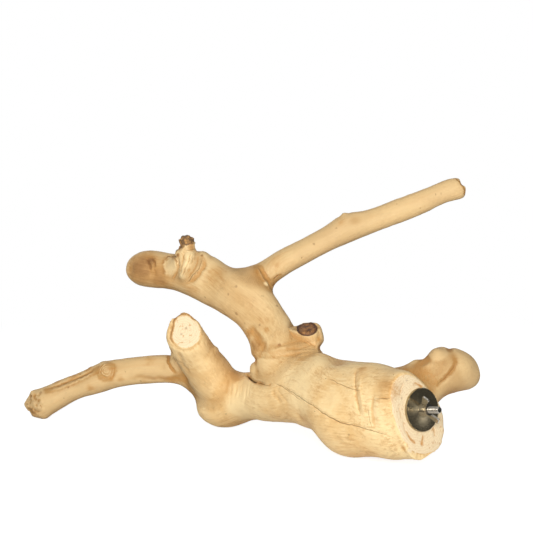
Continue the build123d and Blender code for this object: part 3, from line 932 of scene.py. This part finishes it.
# What the finish needs to know of each place is kept in the mesh
stain = np.maximum(FRONT_BARK_STAIN * front_bark, scar_groove_shade)
for u, v, radius, strength in STAINS_AND_SHADE.values():
    stain = np.maximum(stain, strength * mound(gap_from(u, v), radius * MM))
bleach = np.zeros(len(skin.points))
for u, v, radius, strength in BLEACHES_AND_LIGHT.values():
    paleness = smoothstep(BLEACH_EASE - BLEACH_EASE * gap_from(u, v) / (radius * MM))
    bleach = np.maximum(bleach, strength * paleness)
scar_outer, scar_inner, scar_fade = SCAR_BLEACH_SHARES
scar_bleach = SCAR_BLEACH * smoothstep((scar_inner - scar) / scar_fade)
speck = np.zeros(len(skin.points))
for u, v, radius in SPECKS:
    speck = np.maximum(speck, smoothstep(SPECK_EASE[0] - SPECK_EASE[1] * gap_from(u, v) / (radius * MM)))
evened = skin.spread(skin.points.astype(float), HOLLOW_ROUNDS)
for name, values in {
    "stain": stain,
    "bleach": np.where(scar < scar_outer, scar_bleach, bleach),
    "speck": speck,
    "hollow": np.einsum("ij,ij->i", evened - skin.points, skin.normals) / MM,
    "cut_depth": cut_depth,
    "ring_radius": ring_radius,
    "heart": inside_heart / MM,
    "broken": np.maximum(broken, TIP_BROWN * torn),
    "crack_side": crack_side,
    "crack_dark": crack_dark,
    "bark_side": smoothstep((cut_depth - BARK_START) / BARK_FULL),
}.items():
    skin.write(name, values)


class Wire:
    """A node's output, with arithmetic that adds Math nodes."""

    def __init__(self, graph, socket):
        self.graph = graph
        self.socket = socket

    def math(self, operation, first, second=0.0):
        """Result of a Math node."""
        sockets = {"Value": first, "Value_001": second}
        return self.graph.node("ShaderNodeMath", {"operation": operation}, sockets, "Value")

    def __add__(self, other):
        return self.math("ADD", self, other)

    def __sub__(self, other):
        return self.math("SUBTRACT", self, other)

    def __rsub__(self, other):
        return self.math("SUBTRACT", other, self)

    def __mul__(self, other):
        return self.math("MULTIPLY", self, other)

    def __abs__(self):
        return self.math("ABSOLUTE", self)

    __radd__ = __add__
    __rmul__ = __mul__

    def sine(self):
        """Wave between -1 and 1."""
        return self.math("SINE", self)


class Graph:
    """A tree of nodes, of a material, of the world or of geometry."""

    def __init__(self, tree):
        self.tree = tree

    def node(self, kind, settings, sockets, output=None):
        """Adds a node with its settings and sockets, and gives one of its outputs, or the node."""
        node = self.tree.nodes.new(kind)
        for name, value in settings.items():
            setattr(node, name, value)
        inputs = {socket.identifier: socket for socket in node.inputs}
        for name, value in sockets.items():
            for part in value if isinstance(value, list) else [value]:
                if isinstance(part, Wire):
                    self.tree.links.new(part.socket, inputs[name])
                else:
                    inputs[name].default_value = part
        outputs = {socket.identifier: socket for socket in node.outputs}
        return Wire(self, outputs[output]) if output else node

    def vector(self, operation, first, second, output="Vector"):
        """Result of a Vector Math node."""
        sockets = {"Vector": first, "Vector_001": second}
        return self.node("ShaderNodeVectorMath", {"operation": operation}, sockets, output)

    def noise(self, place, scale, detail=2.0, roughness=0.5):
        """Cloudy values about a half."""
        sockets = {"Vector": place, "Scale": scale, "Detail": detail, "Roughness": roughness}
        return self.node("ShaderNodeTexNoise", {}, sockets, "Fac")

    def ease(self, value, start, full):
        """Eases a value from 0 at its start to 1 at full."""
        sockets = {"Value": value, "From Min": start, "From Max": full}
        return self.node("ShaderNodeMapRange", {"interpolation_type": "SMOOTHSTEP"}, sockets, "Result")

    def rays(self):
        """Whether a ray comes from the camera, and whether it is mirrored by a glossy surface."""
        light_path = self.node("ShaderNodeLightPath", {}, {})
        return [Wire(self, light_path.outputs[name]) for name in ("Is Camera Ray", "Is Glossy Ray")]


class Finish(Graph):
    """A material that is worked out by nodes."""

    def __init__(self, name):
        self.material = bpy.data.materials.new(name)
        self.material.use_nodes = True
        super().__init__(self.material.node_tree)
        self.tree.nodes.clear()

    def attribute(self, name, output="Fac"):
        """Value kept in the mesh."""
        return self.node("ShaderNodeAttribute", {"attribute_name": name}, {}, output)

    def place(self):
        """Point of the object's own space."""
        return self.node("ShaderNodeTexCoord", {}, {}, "Object")

    def mix(self, share, one, other, blend="MIX"):
        """Colour between two, or with MULTIPLY, one darkened by the other."""
        settings = {"data_type": "RGBA", "blend_type": blend}
        sockets = {"Factor_Float": share, "A_Color": one, "B_Color": other}
        return self.node("ShaderNodeMix", settings, sockets, "Result_Color")

    def lay(self, colour, *coats):
        """A colour under coats: each has a colour, a value, where it starts and is full, and a strength."""
        for coat, value, start, full, strength in coats:
            colour = self.mix(self.ease(value, start, full) * strength, colour, coat)
        return colour

    def bump(self, height, distance, strength):
        """Normal of a surface with fine relief."""
        sockets = {"Height": height, "Distance": distance, "Strength": strength}
        return self.node("ShaderNodeBump", {}, sockets, "Normal")

    def surface(self, sockets):
        """Ends the material in one shader."""
        shader = self.node("ShaderNodeBsdfPrincipled", {}, sockets, "BSDF")
        self.node("ShaderNodeOutputMaterial", {}, {"Surface": shader})


def tint(red, green, blue):
    """A colour as it looks on a screen, given from 0 to 255, for a shader."""
    shares = [part / 255 for part in (red, green, blue)]
    return *[part / 12.92 if part < 0.04045 else ((part + 0.055) / 1.055) ** 2.4 for part in shares], 1


# The wood's finish: honey and straw tones in broad clouds, streaks along the grain, painted shade in the
# folds, hollows, under the limbs and on the far limbs, painted light on the lit bulges, pale sawn end grain
# with rings and pores, and dark cracks, knots and broken ends
STRAW = tint(250, 221, 166)
HONEY = tint(230, 187, 124)
WEATHERED_SHADE = tint(198, 178, 149)
BLEACHED_AND_LIT = tint(255, 227, 172)
AMBER = tint(198, 144, 78)
BROWN = tint(140, 96, 54)
CRACK_BROWN = tint(88, 58, 32)
FLECK_BROWN = tint(196, 126, 24)
END_GRAIN = tint(243, 220, 180)
END_RING = tint(222, 184, 132)
HEART_BROWN = tint(168, 118, 68)
HEART_DARK = tint(78, 46, 24)
WRINKLE_STRETCH = (0.4, 0.4, 5)
LIMB_SHADE = 0.68
LIMB_STREAKS = 0.32
CRACK_STRENGTH = 0.85
RING_WAVES = 2.1
RING_DISTORTION = 7
RELIEF_DEPTH = 1.2 * MM
RELIEF_STRENGTH = 0.55
LEAST_ROUGHNESS = 0.52
ROUGHNESS_SWING = 0.16

finish = Finish("perch_wood")
place = finish.place()
clouds = finish.noise(place, scale=16, detail=3)
patches = finish.noise(place, scale=45, detail=4, roughness=0.65)
mottle = finish.noise(place, scale=120, detail=4, roughness=0.6)
flecks = finish.noise(place, scale=300, detail=3, roughness=0.7)
grit = finish.noise(place, scale=900, detail=3, roughness=0.6)
pores = finish.noise(place, scale=700)
along_grain = finish.attribute("grain", "Vector")
across_grain = finish.vector("MULTIPLY", along_grain, WRINKLE_STRETCH)
fibres = finish.noise(along_grain, scale=380, detail=3, roughness=0.65)
fine_fibres = finish.noise(along_grain, scale=900, roughness=0.6)
wrinkles = finish.noise(across_grain, scale=330, roughness=0.6)
cloud_swing = clouds - 0.5
patch_swing = patches - 0.5
mottle_swing = mottle - 0.5
fibre_swing = fibres - 0.5

wood_colour = finish.lay(
    HONEY,
    (STRAW, clouds + mottle * 0.4, 0.5, 0.9, 1),
    (AMBER, fibres + mottle_swing * 0.7, 0.5, 0.7, 0.38),
    (BLEACHED_AND_LIT, fibres, 0.46, 0.3, 0.35),
    (BROWN, fine_fibres + cloud_swing * 0.4, 0.58, 0.8, 0.18),
    (AMBER, wrinkles, 0.54, 0.7, 0.22),
    (AMBER, patches + fibre_swing * 0.5, 0.5, 0.72, 0.36),
    (BROWN, flecks + patch_swing * 0.6, 0.62, 0.74, 0.25),
)
limb_shade_tone = finish.attribute("tone")
# Painted shade: each limb is darkened by its tone, partly weathering and partly the lamp's fall-off on the
# farther limbs
wood_colour = finish.mix(limb_shade_tone * LIMB_SHADE, wood_colour, WEATHERED_SHADE, "MULTIPLY")
hollow_value = finish.attribute("hollow")
stain_and_shade_value = finish.attribute("stain") + mottle_swing * 0.5 + fibre_swing * 0.6
wood_colour = finish.lay(
    wood_colour,
    (AMBER, fibres + cloud_swing * 0.8, 0.42, 0.72, limb_shade_tone * LIMB_STREAKS),
    # Painted shade: hollows and creases are darkened towards amber, and ridges are paler straw
    (AMBER, hollow_value, 0.05, 0.6, 0.55),
    (STRAW, hollow_value, -0.1, -1.2, 0.5),
    # Real stains and bark, and painted shade in the valleys, under the limbs and on the trunk's right side
    (AMBER, stain_and_shade_value, 0.1, 0.7, 0.75),
    (BROWN, stain_and_shade_value, 0.4, 1.1, 0.75),
    # Bleached wood, and painted light on the crotch, belly, trunk and the front stub's shaft
    (BLEACHED_AND_LIT, finish.attribute("bleach") + mottle_swing * 0.6, 0.1, 1.0, 0.8),
    (BROWN, finish.attribute("pin_knot") + mottle * 0.3, 0.5, 1.0, 0.7),
)
growth_rings = ((finish.attribute("ring_radius") + mottle * RING_DISTORTION) * RING_WAVES).sine()
end_colour = finish.lay(
    END_GRAIN,
    (END_RING, growth_rings + mottle, 0.6, 1.8, 0.4),
    (AMBER, pores, 0.66, 0.72, 0.35),
    (FLECK_BROWN, flecks, 0.58, 0.7, 0.6),
    (AMBER, stain_and_shade_value, 0.1, 0.7, 1),
)
end_share = 1 - finish.ease(finish.attribute("cut_depth") + mottle * 0.5, 0.75, 1.05)
heart_value = finish.attribute("heart")
heart_pale = finish.ease(heart_value, 0.6, 3.0) * finish.ease(flecks * 0.6 + mottle * 0.6, 0.45, 0.75)
heart_colour = finish.mix(heart_pale, HEART_DARK, HEART_BROWN)
broken_colour = finish.lay(HEART_DARK, (AMBER, mottle + flecks * 0.8, 0.8, 1.15, 1))
wood_colour = finish.lay(
    finish.mix(end_share, wood_colour, end_colour),
    (heart_colour, heart_value + mottle * 2, 0.4, 1.4, 1),
    (broken_colour, finish.attribute("broken") + mottle * 0.8, 0.7, 1.3, 0.9),
    (BROWN, finish.attribute("speck") + mottle_swing, 0.3, 1.0, 0.5),
)
# Dark cracks, and the painted shadow line under the dead knot
crack_value = abs(finish.attribute("crack_side")) + mottle * 0.7 + grit * end_share * 0.4
crack_share = (1 - finish.ease(crack_value, 0.45, 1.3)) * finish.attribute("crack_dark") * CRACK_STRENGTH
crack_colour = finish.mix(end_share, CRACK_BROWN, FLECK_BROWN)
open_pores = finish.ease(pores, 0.66, 0.72) * end_share
relief = grit * 0.3 + mottle * 0.8 + fibres * 0.9 + wrinkles * 0.5 - open_pores * 0.5
finish.surface({
    "Base Color": finish.mix(crack_share, wood_colour, crack_colour),
    "Roughness": finish.ease(mottle, 0.2, 0.8) * ROUGHNESS_SWING + LEAST_ROUGHNESS,
    "Specular IOR Level": 0.35,
    "Normal": finish.bump(relief, RELIEF_DEPTH, RELIEF_STRENGTH),
})


def start_tree(name, inputs):
    """A geometry tree, with wires from its labelled inputs."""
    tree = bpy.data.node_groups.new(name, "GeometryNodeTree")
    for label, kind in inputs.items():
        tree.interface.new_socket(label, in_out="INPUT", socket_type=f"NodeSocket{kind}")
    tree.interface.new_socket("Geometry", in_out="OUTPUT", socket_type="NodeSocketGeometry")
    graph = Graph(tree)
    sources = graph.node("NodeGroupInput", {}, {}).outputs
    return graph, {socket.name: Wire(graph, socket) for socket in sources if socket.name}


def end_tree(graph, geometry, material):
    """Ends a geometry tree in plain faces with their finish."""
    real = graph.node("GeometryNodeRealizeInstances", {}, {"Geometry": geometry}, "Geometry")
    dressed = graph.node("GeometryNodeSetMaterial", {}, {"Geometry": real, "Material": material}, "Geometry")
    graph.tree.links.new(dressed.socket, graph.node("NodeGroupOutput", {}, {}).inputs["Geometry"])


def apply_tree(piece, tree, values):
    """Runs a geometry tree on a piece and keeps the result as its plain mesh."""
    modifier = piece.modifiers.new(tree.name, "NODES")
    modifier.node_group = tree
    for item in tree.interface.items_tree:
        if item.name in values:
            modifier[item.identifier] = values[item.name]
    settle(piece)


# Weathering of the whole skin: slow swellings, ripples and pin knots, with the sawn ends kept flat
weathering, given = start_tree("weathering", {
    "Geometry": "Geometry",
    "Swelling": "Float",
    "Ripple": "Float",
    "Knot Density": "Float",
    "Knot Reach": "Float",
    "Knot Depth": "Float",
    "Seed": "Int",
    "Finish": "Material",
})
position = weathering.node("GeometryNodeInputPosition", {}, {}, "Position")
normal = weathering.node("GeometryNodeInputNormal", {}, {}, "Normal")
bark_side = weathering.node(
    "GeometryNodeInputNamedAttribute", {"data_type": "FLOAT"}, {"Name": "bark_side"}, "Attribute",
)
knots = weathering.node(
    "GeometryNodeDistributePointsOnFaces", {},
    {"Mesh": given["Geometry"], "Density": given["Knot Density"], "Seed": given["Seed"]}, "Points",
)
knot_gap = weathering.node(
    "GeometryNodeProximity", {"target_element": "POINTS"}, {"Target": knots}, "Distance",
)
pit = weathering.ease(knot_gap, given["Knot Reach"], 0) * bark_side
swelling = (weathering.noise(position, scale=22) - 0.5) * given["Swelling"]
ripple = (weathering.noise(position, scale=75, detail=3) - 0.5) * given["Ripple"]
outward = (swelling + ripple) * bark_side - pit * given["Knot Depth"]
shift = weathering.node(
    "ShaderNodeVectorMath", {"operation": "SCALE"}, {"Vector": normal, "Scale": outward}, "Vector",
)
marked = weathering.node(
    "GeometryNodeStoreNamedAttribute", {"data_type": "FLOAT", "domain": "POINT"},
    {"Geometry": given["Geometry"], "Name": "pin_knot", "Value": pit}, "Geometry",
)
moved = weathering.node("GeometryNodeSetPosition", {}, {"Geometry": marked, "Offset": shift}, "Geometry")
end_tree(weathering, moved, given["Finish"])
apply_tree(wood, weathering.tree, {
    "Swelling": 2.4 * MM,
    "Ripple": 0.9 * MM,
    "Knot Density": 450.0,
    "Knot Reach": 1.7 * MM,
    "Knot Depth": 0.3 * MM,
    "Seed": WOOD_SEED,
    "Finish": finish.material,
})

# The wood stays inside the box of its solids
skin = Skin(wood.data)
skin.points = np.clip(skin.points, *np.float32(cad_box))
skin.update()
for polygon in wood.data.polygons:
    polygon.use_smooth = True
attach(wood, "branch")
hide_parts(*WOOD_NODES)

# The hanger bolt: rolled steel rod with a wood-screw end in the trunk and an M8 machine end outside it.
# Both threads are helical ridges on a plain core. The tip stays just inside the box of the solids.
STEEL_LIGHT = tint(186, 172, 142)
STEEL_DARK = tint(178, 164, 134)
BOLT_LIGHT = tint(170, 164, 154)
BOLT_DARK = tint(152, 146, 134)
BOLT_ROUGHNESS = 0.16
BOLT_RINGS = 0.5 * MM
STEEL_WEAR_SWING = 0.03
STEEL_RELIEF = 0.04 * MM
STEEL_RELIEF_STRENGTH = 0.5
THREAD_DEPTH = 0.5 * MM
MACHINE_PITCH = 1.25 * MM
SCREW_PITCH = 3.0 * MM
THREAD_SIDES = 28
RIDGE_SIDES = 4
BOLT_CHAMFER = 1.0 * MM
SCREW_POINT = 10 * MM
bolt_axis = Vector(frame["record"]["mounts"][0]["axis"]).normalized()
bolt_turn = bolt_axis.to_track_quat("Z", "Y").to_matrix().to_4x4()


def lathe_size(name):
    """Lowest and highest place of a node along the bolt's axis, and its largest radius."""
    points = np.array([vertex.co for vertex in frame["nodes"][name].data.vertices])
    heights = points @ np.array(bolt_axis)
    radii = np.linalg.norm(points - heights[:, None] * np.array(bolt_axis), axis=1)
    return heights.min(), heights.max(), radii.max()


def steel(name, roughness, ring_spacing, light, dark):
    """Steel with cloudy wear, fine scratches and the rings that turning leaves round the bolt's axis."""
    metal = Finish(name)
    place = metal.place()
    wear = metal.noise(place, scale=240, detail=3)
    scratch = metal.noise(place, scale=1500, detail=3, roughness=0.7)
    arm = metal.vector("CROSS_PRODUCT", place, bolt_axis)
    radius = metal.node("ShaderNodeVectorMath", {"operation": "LENGTH"}, {"Vector": arm}, "Value")
    rings = (radius * (2 * math.pi / ring_spacing) + wear * 3).sine()
    relief = rings * 0.5 + scratch * 0.4
    metal.surface({
        "Base Color": metal.lay(dark, (light, wear, 0.3, 0.7, 1)),
        "Metallic": 1.0,
        "Roughness": metal.ease(wear + scratch * 0.5, 0.4, 1.1) * STEEL_WEAR_SWING + roughness,
        "Normal": metal.bump(relief, STEEL_RELIEF, STEEL_RELIEF_STRENGTH),
    })
    return metal.material


thread_tree, given = start_tree("rolled_thread", {
    "Geometry": "Geometry",
    "Radius": "Float",
    "Depth": "Float",
    "Low": "Float",
    "High": "Float",
    "Turns": "Float",
    "Finish": "Material",
})
core_radius = given["Radius"] - given["Depth"]
length = given["High"] - given["Low"]
helix = thread_tree.node("GeometryNodeCurveSpiral", {}, {
    "Resolution": THREAD_SIDES,
    "Rotations": given["Turns"],
    "Start Radius": core_radius,
    "End Radius": core_radius,
    "Height": length,
}, "Curve")
helix = thread_tree.node("GeometryNodeSetCurveNormal", {"mode": "Z_UP"}, {"Curve": helix}, "Curve")
ridge = thread_tree.node(
    "GeometryNodeCurvePrimitiveCircle", {"mode": "RADIUS"},
    {"Resolution": RIDGE_SIDES, "Radius": given["Depth"]}, "Curve",
)
thread = thread_tree.node(
    "GeometryNodeCurveToMesh", {}, {"Curve": helix, "Profile Curve": ridge, "Fill Caps": True}, "Mesh",
)
core = thread_tree.node(
    "GeometryNodeMeshCylinder", {"fill_type": "NGON"},
    {"Vertices": THREAD_SIDES, "Radius": core_radius, "Depth": length}, "Mesh",
)
placed = []
for shape, height in ((thread, given["Low"]), (core, (given["Low"] + given["High"]) * 0.5)):
    lifted = thread_tree.node("ShaderNodeCombineXYZ", {}, {"Z": height}, "Vector")
    sockets = {"Geometry": shape, "Translation": lifted}
    placed.append(thread_tree.node("GeometryNodeTransform", {}, sockets, "Geometry"))
both = thread_tree.node("GeometryNodeJoinGeometry", {}, {"Geometry": placed}, "Geometry")
end_tree(thread_tree, both, given["Finish"])

bolt_low, bolt_high, bolt_radius = lathe_size("hanger_bolt")
bolt_high -= SAME_POINT
wood_height = lathe_size("inner_washer")[0]
bolt_steel = steel("rolled_bolt_steel", BOLT_ROUGHNESS, BOLT_RINGS, BOLT_LIGHT, BOLT_DARK)
bolt_shape = bmesh.new()
for low, high, pitch in (
    (wood_height, bolt_high - BOLT_CHAMFER, MACHINE_PITCH),
    (bolt_low + SCREW_POINT, wood_height, SCREW_PITCH),
):
    length_of_thread = new_piece("thread", bpy.data.meshes.new("thread"))
    apply_tree(length_of_thread, thread_tree.tree, {
        "Radius": bolt_radius,
        "Depth": THREAD_DEPTH,
        "Low": low,
        "High": high,
        "Turns": (high - low) / pitch,
        "Finish": bolt_steel,
    })
    bolt_shape.from_mesh(length_of_thread.data)
    bpy.data.objects.remove(length_of_thread)
for low, high, low_radius, high_radius in (
    (bolt_high - BOLT_CHAMFER, bolt_high, bolt_radius - THREAD_DEPTH / 2, bolt_radius - BOLT_CHAMFER),
    (bolt_low, bolt_low + SCREW_POINT, BOLT_CHAMFER / 2, bolt_radius - THREAD_DEPTH),
):
    made = bmesh.ops.create_cone(
        bolt_shape, cap_ends=True, segments=THREAD_SIDES,
        radius1=low_radius, radius2=high_radius, depth=high - low,
    )
    bmesh.ops.translate(bolt_shape, verts=made["verts"], vec=(0, 0, (low + high) / 2))
bolt_shape.transform(bolt_turn)
bolt_mesh = bpy.data.meshes.new("threaded_bolt")
bolt_shape.to_mesh(bolt_mesh)
bolt_shape.free()
bolt_mesh.materials.append(bolt_steel)
threaded_bolt = new_piece("threaded_bolt", bolt_mesh)
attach(threaded_bolt, "branch")
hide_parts("hanger_bolt")

# The washers: both are stamped from steel sheet and turned smooth, with edges broken round. The inner
# one is flat against the sawn face, and the outer one is dished so that its rim grips the cage.
WASHER_ROUGHNESS = 0.2
WASHER_RINGS = 0.7 * MM
WASHER_SIDES = 96
WASHER_EDGE = 0.45 * MM
HOLE_CLEARANCE = 0.35 * MM
SEAT_RADIUS = 8.5 * MM
RIM_FLAT = 1.5 * MM
DISH_STEPS = 54
washer_steel = steel("turned_washer_steel", WASHER_ROUGHNESS, WASHER_RINGS, STEEL_LIGHT, STEEL_DARK)
washer_low, washer_high, washer_radius = lathe_size("inner_washer")
dish_low, dish_high, dish_radius = lathe_size("outer_washer")
washer_thickness = washer_high - washer_low
hole_radius = bolt_radius + HOLE_CLEARANCE
rim_radius = dish_radius - RIM_FLAT
dish_rise = dish_high - dish_low - washer_thickness


def turned_ring(name, lower, upper):
    """Ring turned about the bolt's axis, between a lower and an upper line of radius and height pairs."""
    shape = bmesh.new()
    loop = [shape.verts.new((radius, 0, height)) for radius, height in lower + upper[::-1]]
    edges = [shape.edges.new((here, after)) for here, after in zip(loop, loop[1:] + loop[:1])]
    bmesh.ops.spin(
        shape, geom=loop + edges, cent=(0, 0, 0), axis=(0, 0, 1),
        angle=2 * math.pi, steps=WASHER_SIDES, use_merge=True,
    )
    bmesh.ops.remove_doubles(shape, verts=shape.verts, dist=SAME_POINT)
    bmesh.ops.recalc_face_normals(shape, faces=shape.faces)
    shape.transform(bolt_turn)
    mesh = bpy.data.meshes.new(name)
    shape.to_mesh(mesh)
    shape.free()
    mesh.materials.append(washer_steel)
    for polygon in mesh.polygons:
        polygon.use_smooth = True
    return new_piece(name, mesh)


def flat_height(radius):
    """Height of the flat washer's lower side."""
    return washer_low


def dish_height(radius):
    """Height of the dished washer's lower side."""
    share = float(np.clip((rim_radius - radius) / (rim_radius - SEAT_RADIUS), 0, 1)) ** 2
    return dish_low + dish_rise * share


def edged(line, inset):
    """A line with its two ends drawn back for a broken edge."""
    (first_radius, first_height), (last_radius, last_height) = line[0], line[-1]
    return [
        (first_radius, first_height + inset),
        (first_radius + WASHER_EDGE, first_height),
        *line[1:-1],
        (last_radius - WASHER_EDGE, last_height),
        (last_radius, last_height + inset),
    ]


for name, height_at, outer_radius, body in (
    ("inner_washer", flat_height, washer_radius, "branch"),
    ("outer_washer", dish_height, dish_radius, "outer_washer"),
):
    wide = outer_radius - hole_radius
    stops = [hole_radius + wide * step / DISH_STEPS for step in range(DISH_STEPS + 1)]
    lower = [(stop, height_at(stop)) for stop in stops]
    upper = [(stop, height + washer_thickness) for stop, height in lower]
    washer = turned_ring(f"turned_{name}", edged(lower, WASHER_EDGE), edged(upper, -WASHER_EDGE))
    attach(washer, body)
    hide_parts(name)

# The wing nut: a threaded nut stamped from steel, with two square-cornered wings to turn it by hand. It
# is screwed down on the dished washer, and its solid is shown as it is.
NUT_ROUGHNESS = 0.18
NUT_RINGS = 1.1 * MM
nut = frame["nodes"]["wing_nut"]
nut.data.materials.clear()
nut.data.materials.append(steel("stamped_nut_steel", NUT_ROUGHNESS, NUT_RINGS, BOLT_LIGHT, BOLT_DARK))

# The table and the light: a white table that fades into white walls, lit by a broad soft lamp beside the
# camera, so that it keeps the perch's shadow. In the steel's mirrored view alone, the table ends near the
# perch and one side of the room is dim, which gives the dished washer its light and dark fans.
FLOOR_SIZE = 8
SHADOW_REACH = (0.55, 1.0)
TABLE_END = (0.17, 0.34)
TABLE_END_LIGHT = 0.08
TABLE_GLOW = 0.8
TABLE_WHITE = (0.7, 0.7, 0.7, 1)
LAMP_PLACE = Vector((-1.5, -1.5, 0.66))
LAMP_AIM = Vector((0, 0.2, 0.03))
LAMP_POWER = 51
LAMP_SIZE = 1.1
WALL_WHITE = (1, 1, 1, 1)
WALL_LIGHT = 0.31
DIM_SIDE = (0.94, -0.26, 0.2)
DIM_SIDE_EDGE = (0.4, 0.8)
DIM_SIDE_DEPTH = 0.92

floor_mesh = bpy.data.meshes.new("table_top")
corners = [(-1, -1), (1, -1), (1, 1), (-1, 1)]
table_height = cad_box[0][2]
floor_points = [(FLOOR_SIZE * x, FLOOR_SIZE * y, table_height) for x, y in corners]
floor_mesh.from_pydata(floor_points, [], [(0, 1, 2, 3)])
table_top = new_piece("table_top", floor_mesh)
table = Finish("white_table")
camera_ray, glossy_ray = table.rays()
from_perch = table.vector("DISTANCE", table.place(), LAMP_AIM, "Value")
from_washer = table.node("ShaderNodeVectorMath", {"operation": "LENGTH"}, {"Vector": table.place()}, "Value")
lit = table.node("ShaderNodeBsdfDiffuse", {}, {"Color": TABLE_WHITE}, "BSDF")
glow = table.node("ShaderNodeEmission", {}, {"Strength": (camera_ray + glossy_ray) * TABLE_GLOW}, "Emission")
near_table = table.node("ShaderNodeAddShader", {}, {"Shader": lit, "Shader_001": glow}, "Shader")
far_light = camera_ray + glossy_ray * TABLE_END_LIGHT
far_table = table.node("ShaderNodeEmission", {}, {"Strength": far_light}, "Emission")
fade = table.ease(from_perch, *SHADOW_REACH) * camera_ray
fade = fade + table.ease(from_washer, *TABLE_END) * glossy_ray
whole_table = table.node(
    "ShaderNodeMixShader", {}, {"Fac": fade, "Shader": near_table, "Shader_001": far_table}, "Shader",
)
table.node("ShaderNodeOutputMaterial", {}, {"Surface": whole_table})
floor_mesh.materials.append(table.material)

lamp_data = bpy.data.lights.new("key_lamp", "AREA")
lamp_data.energy = LAMP_POWER
lamp_data.size = LAMP_SIZE
lamp = bpy.data.objects.new("key_lamp", lamp_data)
lamp.location = LAMP_PLACE
lamp.rotation_euler = (LAMP_AIM - LAMP_PLACE).to_track_quat("-Z", "Y").to_euler()
bpy.context.scene.collection.objects.link(lamp)

world = bpy.data.worlds.new("white_walls")
bpy.context.scene.world = world
world.use_nodes = True
world.node_tree.nodes.clear()
walls = Graph(world.node_tree)
camera_ray, glossy_ray = walls.rays()
heading = walls.node("ShaderNodeTexCoord", {}, {}, "Generated")
towards_dim_side = walls.vector("DOT_PRODUCT", heading, DIM_SIDE, "Value")
dimming = walls.ease(towards_dim_side, *DIM_SIDE_EDGE) * glossy_ray * DIM_SIDE_DEPTH
strength = ((camera_ray + glossy_ray) * (1 - WALL_LIGHT) + WALL_LIGHT) * (1 - dimming)
background = walls.node(
    "ShaderNodeBackground", {}, {"Strength": strength, "Color": WALL_WHITE}, "Background",
)
walls.node("ShaderNodeOutputWorld", {}, {"Surface": background})
bpy.context.scene.view_settings.view_transform = "Standard"
